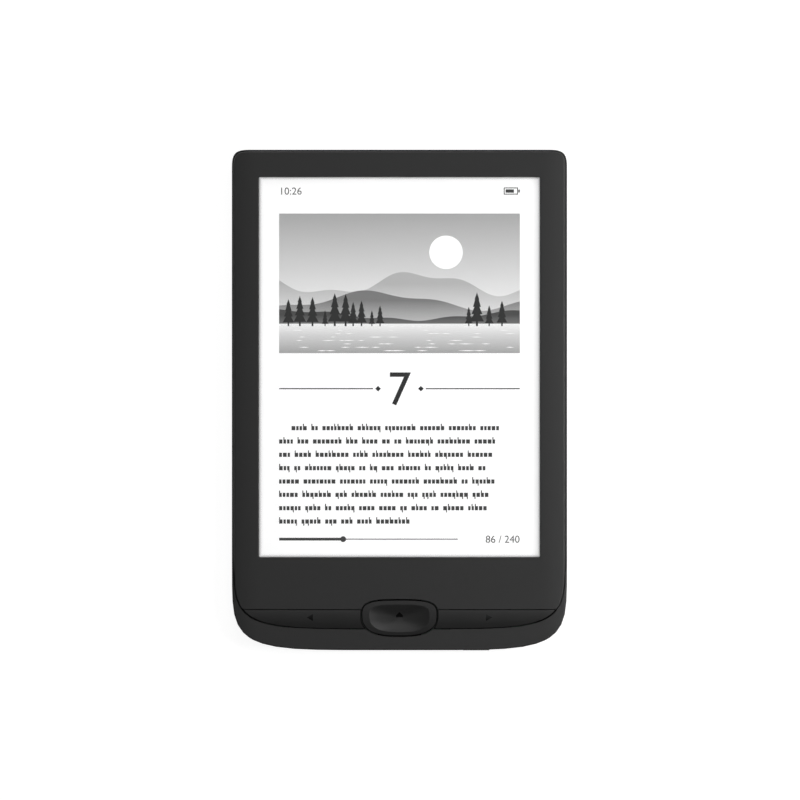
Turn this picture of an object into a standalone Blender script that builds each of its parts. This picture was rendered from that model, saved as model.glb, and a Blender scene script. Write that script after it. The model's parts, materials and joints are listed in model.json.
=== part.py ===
"""E-reader with a 6-inch screen, two page keys, a dished home key and a power key.

Metres. +Z points out of the screen and +Y to the top of the page. The origin lies under
the middle of the case, on the flat back that the reader rests on.
"""

import math
from collections import namedtuple

import bmesh
import bpy
from mathutils import Matrix

MM = 0.001

# Screen window, and the display outline behind it
WINDOW_WIDTH = 90.6 * MM
WINDOW_HEIGHT = 122.5 * MM
WINDOW_CORNER = 0.5 * MM
WINDOW_EDGE = 0.3 * MM
EDGE_STEPS = 3
DISPLAY_MARGIN = 2.6 * MM
DISPLAY_LEDGE = 6.0 * MM

# Case walls, from the display outwards
FENCE_GAP = 0.15 * MM
FENCE_WALL = 0.6 * MM
FENCE_HEIGHT = 1.0 * MM
BOSS_GAP = 0.2 * MM
BOSS_RADIUS = 1.35 * MM
BOSS_WALL_GAP = 0.28 * MM
TOP_CLEARANCE = 3.28 * MM
TONGUE = 0.6 * MM
TONGUE_GAP = 0.12 * MM
TONGUE_HEIGHT = 0.8 * MM
SKIRT = 0.9 * MM
STEP = 0.55 * MM

# Key band below the window, from the display down to the bottom edge
FLEX_RUN = 4.15 * MM
CONNECTOR_DEPTH = 3.0 * MM
CONNECTOR_TO_CREASE = 3.65 * MM
STRIP_HEIGHT = 6.4 * MM
CHIN_HEIGHT = 6.8 * MM

# Corners of the case and of the seam round the front: run, rise and fullness
TOP_CORNER_RUN = 6.75 * MM
TOP_CORNER_RISE = 6.5 * MM
TOP_CORNER_POWER = 3.7
BOTTOM_CORNER_RISE = 30.9 * MM
BOTTOM_CORNER_POWER = 5.6
SEAM_CORNER_RISE = 28.1 * MM
SEAM_CORNER_POWER = 5.5
OUTLINE_STEPS = 8

# Layers from the back to the front
REAR_WALL = 1.0 * MM
BATTERY_CLEARANCE = 0.3 * MM
BATTERY_THICKNESS = 2.6 * MM
TAPE_THICKNESS = 0.15 * MM
CHASSIS_PLATE = 0.6 * MM
BACKPLANE_THICKNESS = 0.5 * MM
FILM_THICKNESS = 0.25 * MM
GUIDE_THICKNESS = 0.4 * MM
TOUCH_THICKNESS = 0.35 * MM
GASKET_THICKNESS = 0.25 * MM
BEZEL_PLATE = 1.0 * MM
BOND_GAP = 0.075 * MM

# Parting between bezel and rear cover, and edge rounding
PARTING_HEIGHT = 3.4 * MM
PARTING_GAP = 0.15 * MM
SEAM_GAP = 0.15 * MM
RAMP_FOOT = 24.0 * MM
RAMP_LENGTH = 12.0 * MM
RIM_RISE = 0.1 * MM
TONGUE_START = 2.0 * MM
REAR_EDGE_RADIUS = 2.0 * MM
FRONT_EDGE_RADIUS = 0.45 * MM
SIDE_ROLL = math.radians(8.0)
ROLL_STEPS = 6
HOOK_LENGTH = 6.0 * MM
HOOK_DEPTH = 0.35 * MM
HOOK_HEIGHT = 0.4 * MM
HOOK_CLEARANCE = 0.15 * MM
HOOK_PITCH = 42.0 * MM

# Chin
CHIN_PLATE = 1.3 * MM
CHIN_LIP = 1.0 * MM
CHIN_SHOULDER = 0.3 * MM
LIP_COVER = 0.4 * MM

# Keys in common
KEY_TRAVEL = 0.35 * MM
KEY_STOP_GAP = 0.1 * MM
KEY_FLANGE = 0.8 * MM
FLANGE_THICKNESS = 0.7 * MM
NUB_RADIUS = 1.1 * MM

# Page keys: a strip that curls down from the crease to the seam
STRIP_TILT_TOP = math.radians(2.0)
STRIP_TILT_BOTTOM = math.radians(28.0)
PAGE_KEY_WALL = 1.1 * MM
PAGE_KEY_GAP = 0.15 * MM
KEY_SEAM_GAP = 0.3 * MM
PAGE_SWITCH_X = 28.9 * MM
PAGE_FLANGE_START = 3.5 * MM
PAGE_FLANGE_LENGTH = 20.0 * MM
CREASE_RIB = 1.0 * MM
CREASE_RIB_GAP = 0.6 * MM

# Home key: flat at its top, curling down to its lower edge, with a dish
HOME_HALF_WIDTH = 12.1 * MM
HOME_UP = 4.8 * MM
HOME_DOWN = 6.7 * MM
HOME_POWER_UP = 3.3
HOME_POWER_DOWN = 2.7
HOME_HEIGHT = 11.33 * MM
HOME_GAP = 0.35 * MM
HOME_TILT = math.radians(21.0)
HOME_TAB = 7.0 * MM
TAB_ROOT = 1.2 * MM
DISH_SIDE = 2.4 * MM
DISH_TOP = 1.4 * MM
DISH_BOTTOM = 1.2 * MM
DISH_DEPTH = 1.3 * MM

# Power key on the bottom edge
POWER_X = 24.7 * MM
POWER_LENGTH = 8.6 * MM
POWER_HEIGHT = 2.0 * MM
POWER_GAP = 0.2 * MM
POWER_PROUD = 0.03 * MM
POWER_FLANGE = 0.45 * MM
POWER_FLANGE_GAP = 0.35 * MM
POWER_FLANGE_SIDE = 0.6 * MM
POWER_NUB = 0.12 * MM

# Switches
SWITCH_SIZE = 3.0 * MM
SWITCH_HEIGHT = 0.9 * MM
SIDE_SWITCH_LENGTH = 4.7 * MM
SIDE_SWITCH_DEPTH = 3.0 * MM
SIDE_SWITCH_HEIGHT = 1.2 * MM
PLUNGER_RADIUS = 0.7 * MM
SIDE_PLUNGER_RADIUS = 0.3 * MM
PLUNGER_GAP = 0.12 * MM
PLUNGER_GRIP = 0.3 * MM
REST_GAP = 0.05 * MM

# Main board and its parts
BOARD_STANDOFF = 0.9 * MM
BOARD_THICKNESS = 0.8 * MM
BOARD_LENGTH = 46.0 * MM
BOARD_WIDTH = 88.0 * MM
BOARD_EDGE_GAP = 0.15 * MM
BOARD_NOTCH_GAP = 0.3 * MM
SOLDER_GAP = 0.05 * MM
PART_CLEARANCE = 0.15 * MM
CONNECTOR_HEIGHT = 1.0 * MM
CONNECTOR_SIDE = 1.6 * MM
FLEX_THICKNESS = 0.15 * MM
FLEX_INSERT = 1.0 * MM
FLEX_CLEARANCE = 0.15 * MM
POST_RADIUS = 1.2 * MM

# Charging socket, card socket and status light
USB_X = 0.0
USB_WIDTH = 8.94 * MM
USB_HEIGHT = 3.26 * MM
USB_LENGTH = 7.35 * MM
USB_WALL = 0.3 * MM
USB_SETBACK = 0.2 * MM
USB_GAP = 0.3 * MM
USB_TONGUE_WIDTH = 6.7 * MM
USB_TONGUE_HEIGHT = 0.7 * MM
USB_TONGUE_SETBACK = 0.8 * MM
CARD_X = -17.0 * MM
CARD_WIDTH = 14.0 * MM
CARD_LENGTH = 14.5 * MM
CARD_HEIGHT = 1.3 * MM
CARD_SLOT_WIDTH = 11.3 * MM
CARD_SLOT_HEIGHT = 0.9 * MM
CARD_OPENING_GAP = 0.3 * MM
LIGHT_X = 14.0 * MM
LIGHT_RADIUS = 0.6 * MM
LIGHT_GAP = 0.15 * MM
LED_SIZE = 0.7 * MM

# Battery, set above the board
BATTERY_WIDTH = 52.0 * MM
BATTERY_LENGTH = 80.0 * MM
BATTERY_GAP = 4.0 * MM
BATTERY_EDGE = 0.6 * MM
GUARD_SET_IN = 11.0 * MM
GUARD_DEPTH = 2.6 * MM
GUARD_HEIGHT = 1.2 * MM
GUARD_GAP = 0.3 * MM
LEAD_RADIUS = 0.45 * MM
LEAD_PITCH = 1.6 * MM
LEAD_REACH = 4.2 * MM
LEAD_BEND = 1.1 * MM
PLUG_SIZE = 5.0 * MM
PLUG_HEIGHT = 1.1 * MM
BAY_RIB = 0.8 * MM
BAY_RIB_HEIGHT = 1.2 * MM
BAY_RIB_GAP = 0.4 * MM
BAY_RIB_SET_IN = 10.0 * MM

# Screws
SCREW_RADIUS = 0.6 * MM
SCREW_HEAD_RADIUS = 1.2 * MM
SCREW_HEAD = 0.5 * MM
SCREW_GAP = 0.1 * MM
SCREW_DRIVE = 0.5 * MM
CASE_SCREW_LENGTH = 2.2 * MM
CASE_SCREW_PITCH = 58.0 * MM
BOARD_SCREW_LENGTH = 1.9 * MM
BOARD_SCREW_INSET = 5.5 * MM
BOARD_SCREW_EDGE = 3.0 * MM
BOARD_SCREW_PITCH = 16.0 * MM
STANDOFF_RADIUS = 1.5 * MM

# Front light
STRIP_DEPTH = 2.6 * MM
STRIP_BASE = 0.12 * MM
STRIP_LED_LENGTH = 3.0 * MM
STRIP_LED_DEPTH = 1.0 * MM
STRIP_LED_COUNT = 8
FILM_MARGIN = 2.0 * MM
GASKET_MARGIN = 0.5 * MM
LAYER_GAP = 0.3 * MM

PAST = 1.0 * MM  # how far a cutter runs past what it cuts
BITE = 0.3 * MM  # how far joined shapes reach into each other

# Outline, built up from the middle of the case
WALL = STEP + SKIRT + TONGUE_GAP + TONGUE
DISPLAY_HALF = WINDOW_WIDTH / 2 + DISPLAY_MARGIN
BOSS_X = DISPLAY_HALF + FENCE_GAP + FENCE_WALL + BOSS_GAP + BOSS_RADIUS
HALF_WIDTH = BOSS_X + BOSS_RADIUS + BOSS_WALL_GAP + WALL
TOP_BORDER = DISPLAY_MARGIN + FENCE_GAP + FENCE_WALL + TOP_CLEARANCE + WALL
BAND_HEIGHT = DISPLAY_LEDGE + FLEX_RUN + CONNECTOR_DEPTH + CONNECTOR_TO_CREASE
TOP = (TOP_BORDER + WINDOW_HEIGHT + BAND_HEIGHT + STRIP_HEIGHT + CHIN_HEIGHT) / 2
BOTTOM = -TOP
WINDOW_TOP = TOP - TOP_BORDER
WINDOW_BOTTOM = WINDOW_TOP - WINDOW_HEIGHT
DISPLAY_TOP = WINDOW_TOP + DISPLAY_MARGIN
DISPLAY_BOTTOM = WINDOW_BOTTOM - DISPLAY_LEDGE
SEAM_Y = BOTTOM + CHIN_HEIGHT
CREASE_Y = SEAM_Y + STRIP_HEIGHT
CONNECTOR_Y = DISPLAY_BOTTOM - FLEX_RUN
CHASSIS_BOTTOM = DISPLAY_BOTTOM - FENCE_WALL
ROLL_START = WINDOW_WIDTH / 2 + 2 * WINDOW_EDGE
ROLL_STEP = (HALF_WIDTH - ROLL_START) / ROLL_STEPS

# Levels, built up from the back
BATTERY_STACK = BATTERY_CLEARANCE + BATTERY_THICKNESS + TAPE_THICKNESS + 2 * BOND_GAP
BOARD_STACK = BOARD_STANDOFF + BOARD_THICKNESS + SOLDER_GAP + CARD_HEIGHT + PART_CLEARANCE
CHASSIS_BACK = REAR_WALL + max(BATTERY_STACK, BOARD_STACK)
CHASSIS_FRONT = CHASSIS_BACK + CHASSIS_PLATE
BACKPLANE_Z = CHASSIS_FRONT + BOND_GAP
FILM_Z = BACKPLANE_Z + BACKPLANE_THICKNESS + BOND_GAP
GUIDE_Z = FILM_Z + FILM_THICKNESS + BOND_GAP
TOUCH_Z = GUIDE_Z + GUIDE_THICKNESS + BOND_GAP
GASKET_Z = TOUCH_Z + TOUCH_THICKNESS + BOND_GAP
BEZEL_BACK = GASKET_Z + GASKET_THICKNESS + BOND_GAP
FRONT = BEZEL_BACK + BEZEL_PLATE
BOARD_FRONT = CHASSIS_BACK - BOARD_STANDOFF
BOARD_BACK = BOARD_FRONT - BOARD_THICKNESS
BOARD_SEAT = BOARD_FRONT + SOLDER_GAP
BOARD_UNDER = BOARD_BACK - SOLDER_GAP

# Key surfaces and the stops below them
STRIP_RADIUS = STRIP_HEIGHT / (math.sin(STRIP_TILT_BOTTOM) - math.sin(STRIP_TILT_TOP))
STRIP_DROP = STRIP_RADIUS * (math.cos(STRIP_TILT_TOP) - math.cos(STRIP_TILT_BOTTOM))
HOME_RADIUS = (HOME_UP + HOME_DOWN) / math.sin(HOME_TILT)
LIP_BOTTOM = FRONT - STRIP_DROP - LIP_COVER
LOW_FLANGE_TOP = LIP_BOTTOM - KEY_STOP_GAP
KEY_FLOOR = LOW_FLANGE_TOP - FLANGE_THICKNESS
HIGH_FLANGE_TOP = BEZEL_BACK - KEY_STOP_GAP
HOME_Y = BOTTOM + HOME_HEIGHT
HOME_TOP = HOME_Y + HOME_UP
HOME_BOTTOM = HOME_Y - HOME_DOWN

# Board, sockets and switches, placed from the bottom edge
POWER_FLANGE_Y = BOTTOM + WALL + POWER_FLANGE_GAP
POWER_TIP_Y = POWER_FLANGE_Y + POWER_FLANGE + POWER_NUB
BOARD_INSET = WALL + POWER_FLANGE_GAP + POWER_FLANGE + KEY_TRAVEL + BOARD_EDGE_GAP
BOARD_BOTTOM = BOTTOM + BOARD_INSET
BOARD_TOP = BOARD_BOTTOM + BOARD_LENGTH
SIDE_SWITCH_Y = max(BOARD_BOTTOM, POWER_TIP_Y + KEY_TRAVEL) + BOARD_EDGE_GAP
POWER_Z = BOARD_SEAT + SIDE_SWITCH_HEIGHT / 2
USB_Z = BOARD_FRONT - BOARD_THICKNESS / 2
USB_FRONT = BOTTOM + USB_SETBACK
USB_BACK = USB_FRONT + USB_LENGTH
CARD_Z = BOARD_UNDER - CARD_HEIGHT / 2
SWITCH_TOP = BOARD_SEAT + SWITCH_HEIGHT
PLUNGER_TOP = SWITCH_TOP + KEY_TRAVEL + REST_GAP
NUB_Z = PLUNGER_TOP + REST_GAP
HOME_SWITCH_Y = USB_BACK + 2 * BOARD_NOTCH_GAP + SWITCH_SIZE / 2
PAGE_SWITCH_Y = (CREASE_Y + SEAM_Y) / 2
LIGHT_Z = BOARD_SEAT + LED_SIZE / 2
GUARD_LENGTH = BATTERY_WIDTH - 2 * GUARD_SET_IN
BATTERY_BOTTOM = BOARD_TOP + BATTERY_GAP
BATTERY_TOP = BATTERY_BOTTOM + BATTERY_LENGTH
TAPE_Z = CHASSIS_BACK - BOND_GAP - TAPE_THICKNESS
BATTERY_Z = TAPE_Z - BOND_GAP - BATTERY_THICKNESS
CASE_SCREW_ROWS = [(WINDOW_TOP + WINDOW_BOTTOM) / 2 + i * CASE_SCREW_PITCH for i in (-1, 0, 1)]
BOARD_SCREW_X = BOARD_WIDTH / 2 - BOARD_SCREW_INSET
BOARD_SCREW_TOP = BOARD_TOP - STANDOFF_RADIUS - BOARD_SCREW_EDGE
BOARD_SCREW_ROWS = [BOARD_SCREW_TOP - i * BOARD_SCREW_PITCH for i in (0, 1)]
HOOK_ROWS = [WINDOW_TOP - HOOK_PITCH * (i + 0.25) for i in range(3)]

# Flexes and their connectors on the board: name, middle, width, level they leave the display at
FLEXES = (
    ("display", -30.0 * MM, 20.0 * MM, BACKPLANE_Z + BACKPLANE_THICKNESS / 2),
    ("touch", 22.0 * MM, 8.0 * MM, TOUCH_Z + TOUCH_THICKNESS / 2),
    ("frontlight", 36.0 * MM, 6.0 * MM, GUIDE_Z + STRIP_BASE / 2),
)

# Chips on the back of the board: name, x, distance below the board's top edge, sizes
CHIPS = (
    ("processor_chip", -20.0 * MM, 14.5 * MM, (11.0 * MM, 11.0 * MM, 0.7 * MM)),
    ("memory_chip", -7.5 * MM, 14.5 * MM, (8.0 * MM, 10.0 * MM, 0.7 * MM)),
    ("storage_chip", 9.0 * MM, 14.5 * MM, (10.0 * MM, 12.0 * MM, 0.9 * MM)),
    ("power_chip", 9.0 * MM, 27.0 * MM, (6.0 * MM, 6.0 * MM, 0.8 * MM)),
    ("wifi_module", 27.0 * MM, 16.0 * MM, (12.0 * MM, 12.0 * MM, 1.2 * MM)),
    ("wifi_antenna", 34.0 * MM, 29.5 * MM, (16.0 * MM, 3.0 * MM, 0.3 * MM)),
)
SHIELD_WALL = 0.2 * MM
SHIELD_GAP = 1.2 * MM
SHIELD_HEIGHT = 1.2 * MM

# Finishes: colour, roughness, metallic
FINISHES = {
    "black_plastic": ((0.035, 0.035, 0.036), 0.5, 0.0),
    "clear": ((0.85, 0.87, 0.88), 0.1, 0.0),
    "paper": ((0.8, 0.8, 0.78), 0.7, 0.0),
    "glass": ((0.25, 0.28, 0.3), 0.2, 0.0),
    "foam": ((0.02, 0.02, 0.02), 0.9, 0.0),
    "flex": ((0.55, 0.25, 0.04), 0.4, 0.0),
    "aluminium": ((0.6, 0.6, 0.62), 0.35, 1.0),
    "steel": ((0.5, 0.5, 0.52), 0.3, 1.0),
    "board": ((0.02, 0.12, 0.06), 0.5, 0.0),
    "chip": ((0.02, 0.02, 0.022), 0.45, 0.0),
    "cream_plastic": ((0.75, 0.72, 0.62), 0.5, 0.0),
    "foil": ((0.45, 0.46, 0.48), 0.4, 0.8),
    "red_cover": ((0.5, 0.02, 0.02), 0.5, 0.0),
    "black_cover": ((0.02, 0.02, 0.02), 0.5, 0.0),
}

# A closed outline, symmetric about x = 0: each corner is (run, rise, power)
Shape = namedtuple("Shape", "half_width top bottom top_corner bottom_corner")


def grown(shape, by):
    """The shape with every side moved out by a distance."""
    def corner(run, rise, power):
        return run + by, rise + by, power

    return Shape(
        shape.half_width + by,
        shape.top + by,
        shape.bottom - by,
        corner(*shape.top_corner),
        corner(*shape.bottom_corner),
    )


BODY = Shape(
    HALF_WIDTH,
    TOP,
    BOTTOM,
    (TOP_CORNER_RUN, TOP_CORNER_RISE, TOP_CORNER_POWER),
    (HALF_WIDTH, BOTTOM_CORNER_RISE, BOTTOM_CORNER_POWER),
)
BEZEL = Shape(
    HALF_WIDTH - STEP,
    TOP - STEP,
    SEAM_Y,
    (TOP_CORNER_RUN - STEP, TOP_CORNER_RISE - STEP, TOP_CORNER_POWER),
    (HALF_WIDTH - STEP, SEAM_CORNER_RISE, SEAM_CORNER_POWER),
)
HOME = Shape(
    HOME_HALF_WIDTH,
    HOME_TOP,
    HOME_BOTTOM,
    (HOME_HALF_WIDTH, HOME_UP, HOME_POWER_UP),
    (HOME_HALF_WIDTH, HOME_DOWN, HOME_POWER_DOWN),
)
DISH = Shape(
    HOME_HALF_WIDTH - DISH_SIDE,
    HOME_TOP - DISH_TOP,
    HOME_BOTTOM + DISH_BOTTOM,
    (HOME_HALF_WIDTH - DISH_SIDE, HOME_UP - DISH_TOP, HOME_POWER_UP),
    (HOME_HALF_WIDTH - DISH_SIDE, HOME_DOWN - DISH_BOTTOM, HOME_POWER_DOWN),
)


def clear_scene():
    for obj in list(bpy.data.objects):
        bpy.data.objects.remove(obj)


def new_collection(name):
    collection = bpy.data.collections.new(name)
    bpy.context.scene.collection.children.link(collection)
    return collection


clear_scene()
PARTS = new_collection("e_reader")
CUTTERS = new_collection("e_reader_cutters")
CUTTERS.hide_render = True


# Outlines


def quarter(run, rise, power):
    """A rounded corner from its side to its end, with points closer together at the bend."""
    bend = 0.5 ** (1 / power)
    fine = [bend * math.sin(math.pi / 2 * i / OUTLINE_STEPS) for i in range(OUTLINE_STEPS + 1)]
    side = [(run * (1 - v**power) ** (1 / power), rise * v) for v in fine]
    end = [(run * u, rise * (1 - u**power) ** (1 / power)) for u in fine[-2::-1]]
    return side + end


def outline(shape):
    """The points of a shape, counter-clockwise from the middle of its lower edge."""
    run, rise, _ = shape.bottom_corner
    lower = [
        (shape.half_width - run + x, shape.bottom + rise - y)
        for x, y in reversed(quarter(*shape.bottom_corner))
    ]
    run, rise, _ = shape.top_corner
    upper = [
        (shape.half_width - run + x, shape.top - rise + y) for x, y in quarter(*shape.top_corner)
    ]
    half = lower + upper
    return without_repeats(half + [(-x, y) for x, y in reversed(half)])


def without_repeats(points):
    kept = []
    for point in points:
        if not kept or math.dist(point, kept[-1]) > 1e-6:
            kept.append(point)
    if math.dist(kept[0], kept[-1]) < 1e-6:
        kept.pop()
    return kept


def rounded_box(width, height, radius, steps=4):
    """A rectangle about the origin with rounded corners, or a stadium at full radius."""
    points = []
    for quadrant in range(4):
        turn = quadrant * math.pi / 2
        x = (width / 2 - radius) * (1 if quadrant in (0, 3) else -1)
        y = (height / 2 - radius) * (1 if quadrant in (0, 1) else -1)
        for i in range(steps + 1):
            angle = turn + math.pi / 2 * i / steps
            points.append((x + radius * math.cos(angle), y + radius * math.sin(angle)))
    return without_repeats(points)


def moved(points, x, y):
    return [(u + x, v + y) for u, v in points]


# Solids. Each starts as a hidden cutter and becomes a node with keep()


def add_object(name, data):
    obj = bpy.data.objects.new(name, data)
    CUTTERS.objects.link(obj)
    obj.hide_render = True
    obj.display_type = "WIRE"
    return obj


def keep(obj, finish, name=None):
    """Make a solid one of the reader's pieces, with its own material."""
    CUTTERS.objects.unlink(obj)
    PARTS.objects.link(obj)
    obj.name = name or obj.name
    obj.hide_render = False
    obj.display_type = "TEXTURED"
    colour, roughness, metallic = FINISHES[finish]
    material = bpy.data.materials.new(f"{obj.name}_{finish}")
    material.use_nodes = True
    shader = material.node_tree.nodes["Principled BSDF"]
    shader.inputs["Base Color"].default_value = (*colour, 1.0)
    shader.inputs["Roughness"].default_value = roughness
    shader.inputs["Metallic"].default_value = metallic
    obj.data.materials.append(material)
    return obj


def mesh_object(name, work):
    """Close up a bmesh, turn its faces outwards and make it an object."""
    bmesh.ops.remove_doubles(work, verts=work.verts, dist=1e-7)
    bmesh.ops.recalc_face_normals(work, faces=work.faces)
    mesh = bpy.data.meshes.new(name)
    work.to_mesh(mesh)
    work.free()
    return add_object(name, mesh)


AXES = {
    "X": Matrix(((0, 0, 1, 0), (1, 0, 0, 0), (0, 1, 0, 0), (0, 0, 0, 1))),
    "Y": Matrix(((0, 1, 0, 0), (0, 0, 1, 0), (1, 0, 0, 0), (0, 0, 0, 1))),
    "Z": Matrix.Identity(4),
}


def extrude(name, points, low, high, axis="Z"):
    """A flat outline as a solid between two levels. Across X it takes (y, z), across Y (z, x)."""
    curve = bpy.data.curves.new(name, "CURVE")
    curve.dimensions = "2D"
    curve.fill_mode = "BOTH"
    curve.extrude = (high - low) / 2
    spline = curve.splines.new("POLY")
    spline.points.add(len(points) - 1)
    for point, (u, v) in zip(spline.points, points):
        point.co = (u, v, 0.0, 1.0)
    spline.use_cyclic_u = True
    flat = add_object(name + "_curve", curve)
    graph = bpy.context.evaluated_depsgraph_get()
    mesh = bpy.data.meshes.new_from_object(flat.evaluated_get(graph))
    bpy.data.objects.remove(flat)
    work = bmesh.new()
    work.from_mesh(mesh)
    bpy.data.meshes.remove(mesh)
    bmesh.ops.remove_doubles(work, verts=work.verts, dist=1e-7)
    for side in (-1, 1):
        cap = [face for face in work.faces if all(v.co.z * side > 0 for v in face.verts)]
        bmesh.ops.dissolve_faces(work, faces=cap)
    place = AXES[axis] @ Matrix.Translation((0, 0, (low + high) / 2))
    bmesh.ops.transform(work, matrix=place, verts=work.verts)
    return mesh_object(name, work)


def block(name, x, y, z):
    """A box between (low, high) pairs along each axis."""
    work = bmesh.new()
    size = [high - low for low, high in (x, y, z)]
    middle = [(high + low) / 2 for low, high in (x, y, z)]
    place = Matrix.Translation(middle) @ Matrix.Diagonal((*size, 1.0))
    bmesh.ops.create_cube(work, size=1.0, matrix=place)
    return mesh_object(name, work)


def around(middle, width):
    return middle - width / 2, middle + width / 2


def turned(name, profile, centre, axis="Z", sides=20):
    """A profile of (radius, level) points spun about an axis through a centre."""
    work = bmesh.new()
    verts = [work.verts.new((radius, 0.0, level)) for radius, level in profile]
    edges = [work.edges.new(pair) for pair in zip(verts, verts[1:])]
    bmesh.ops.spin(
        work,
        geom=verts + edges,
        cent=(0, 0, 0),
        axis=(0, 0, 1),
        angle=2 * math.pi,
        steps=sides,
        use_merge=True,
    )
    place = Matrix.Translation(centre) @ AXES[axis]
    bmesh.ops.transform(work, matrix=place, verts=work.verts)
    return mesh_object(name, work)


def cylinder(name, centre, radius, low, high, axis="Z", sides=20):
    return turned(name, [(0, low), (radius, low), (radius, high), (0, high)], centre, axis, sides)


def loft(name, rings):
    """A solid through rings of points, closed at both ends."""
    work = bmesh.new()
    loops = [[work.verts.new(point) for point in ring] for ring in rings]
    count = len(rings[0])
    for lower, upper in zip(loops, loops[1:]):
        for i in range(count):
            j = (i + 1) % count
            work.faces.new((lower[i], lower[j], upper[j], upper[i]))
    for end in (loops[0], loops[-1]):
        work.faces.new(end)
    return mesh_object(name, work)


def boolean(target, tool, operation):
    modifier = target.modifiers.new(tool.name, "BOOLEAN")
    modifier.operation = operation
    modifier.solver = "EXACT"
    modifier.object = tool
    return target


def cut(target, *tools):
    for tool in tools:
        boolean(target, tool, "DIFFERENCE")
    return target


def join(target, *tools):
    for tool in tools:
        boolean(target, tool, "UNION")
    return target


def common(target, tool):
    return boolean(target, tool, "INTERSECT")


def round_rim(obj, level, radius, segments):
    """Round the edges of a solid that lie at one level."""
    work = bmesh.new()
    work.from_mesh(obj.data)
    rim = [e for e in work.edges if all(abs(v.co.z - level) < 1e-6 for v in e.verts)]
    bmesh.ops.bevel(
        work, geom=rim, offset=radius, segments=segments, profile=0.5, affect="EDGES",
        clamp_overlap=True,
    )
    work.to_mesh(obj.data)
    work.free()
    return obj


# Surfaces of the front and of the keys


def side_fall(x):
    """How far the front has rolled down at a distance from the middle, in straight steps."""
    def rolled(step):
        reach = max(step, 0) * ROLL_STEP
        return math.tan(SIDE_ROLL) * reach**2 / (2 * (HALF_WIDTH - ROLL_START))

    step = (abs(x) - ROLL_START) / ROLL_STEP
    low = math.floor(step)
    return rolled(low) + (rolled(low + 1) - rolled(low)) * (step - low)


def roll_sides(obj, above):
    """Roll what a solid has above a level down towards its left and right sides."""
    work = bmesh.new()
    work.from_mesh(obj.data)
    for i in range(ROLL_STEPS):
        for x in (ROLL_START + i * ROLL_STEP, -ROLL_START - i * ROLL_STEP):
            everything = work.verts[:] + work.edges[:] + work.faces[:]
            bmesh.ops.bisect_plane(work, geom=everything, plane_co=(x, 0, 0), plane_no=(1, 0, 0))
    for vert in work.verts:
        if vert.co.z > above:
            vert.co.z -= side_fall(vert.co.x)
    work.to_mesh(obj.data)
    work.free()
    return obj


def strip_surface(y):
    """Height of the page keys' face, and of the valley that they form."""
    tilt = math.asin(math.sin(STRIP_TILT_TOP) + (CREASE_Y - y) / STRIP_RADIUS)
    return FRONT - STRIP_RADIUS * (math.cos(STRIP_TILT_TOP) - math.cos(tilt))


def home_surface(y):
    """Height of the home key's rim."""
    tilt = math.asin(min(1.0, (HOME_TOP - y) / HOME_RADIUS))
    return FRONT - HOME_RADIUS * (1 - math.cos(tilt))


def steps_between(low, high, count):
    return [low + (high - low) * i / count for i in range(count + 1)]


# Case


def front_space():
    """What the rear cover leaves free for the bezel and keys, round its own tongue."""
    inner = grown(BEZEL, -(SKIRT + TONGUE_GAP))
    tongue_top = PARTING_HEIGHT + TONGUE_HEIGHT
    ramp_top = BOTTOM + RAMP_FOOT + RAMP_LENGTH
    tongue = extrude("tongue_kept", outline(inner), PARTING_HEIGHT - PAST, tongue_top)
    wide = (-HALF_WIDTH - PAST, HALF_WIDTH + PAST)
    tongue_end = (BOTTOM - PAST, ramp_top + TONGUE_START)
    below = block("below_tongue", wide, tongue_end, (0, FRONT + PAST))
    cut(tongue, below)
    inside = extrude(
        "bezel_space", outline(grown(BEZEL, SEAM_GAP)), PARTING_HEIGHT, FRONT + PAST
    )
    rim = PARTING_HEIGHT + RIM_RISE
    ramp = [
        (BOTTOM + RAMP_FOOT, FRONT + PAST),
        (BOTTOM + RAMP_FOOT, FRONT),
        (ramp_top, rim),
        (TOP + PAST, rim),
        (TOP + PAST, FRONT + PAST),
    ]
    outside = extrude("ramp_space", ramp, *wide, axis="X")
    return cut(inside, tongue), cut(outside, tongue)


def chin_pocket():
    """The hollow behind the chin, leaving its wall and the lip along the keys."""
    inner = outline(grown(BODY, -WALL - CHIN_SHOULDER))
    pocket = extrude("chin_pocket", inner, LIP_BOTTOM - BITE, FRONT - CHIN_PLATE)
    for name, shape in (
        ("chin_lip", grown(BEZEL, SEAM_GAP + CHIN_LIP)),
        ("home_lip", grown(HOME, HOME_GAP + CHIN_LIP)),
    ):
        cut(pocket, extrude(name, outline(shape), REAR_WALL, FRONT + PAST))
    return pocket


def edge_openings():
    """Openings through the bottom wall for the charging socket, card, power key and light."""
    reach = (BOTTOM - PAST, BOTTOM + WALL + PAST)
    openings = (
        ("usb_opening", USB_X, USB_Z, USB_WIDTH + 2 * USB_GAP, USB_HEIGHT + 2 * USB_GAP),
        (
            "card_opening",
            CARD_X,
            CARD_Z,
            CARD_SLOT_WIDTH + 2 * CARD_OPENING_GAP,
            CARD_SLOT_HEIGHT + 2 * CARD_OPENING_GAP,
        ),
        ("power_opening", POWER_X, POWER_Z, POWER_LENGTH + 2 * POWER_GAP, POWER_HEIGHT + 2 * POWER_GAP),
    )
    cutters = []
    for name, x, z, width, height in openings:
        points = moved(rounded_box(height, width, height / 2), z, x)
        cutters.append(extrude(name, points, *reach, axis="Y"))
    radius = LIGHT_RADIUS + LIGHT_GAP
    cutters.append(cylinder("light_opening", (LIGHT_X, 0, LIGHT_Z), radius, *reach, axis="Y"))
    return cutters


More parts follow.
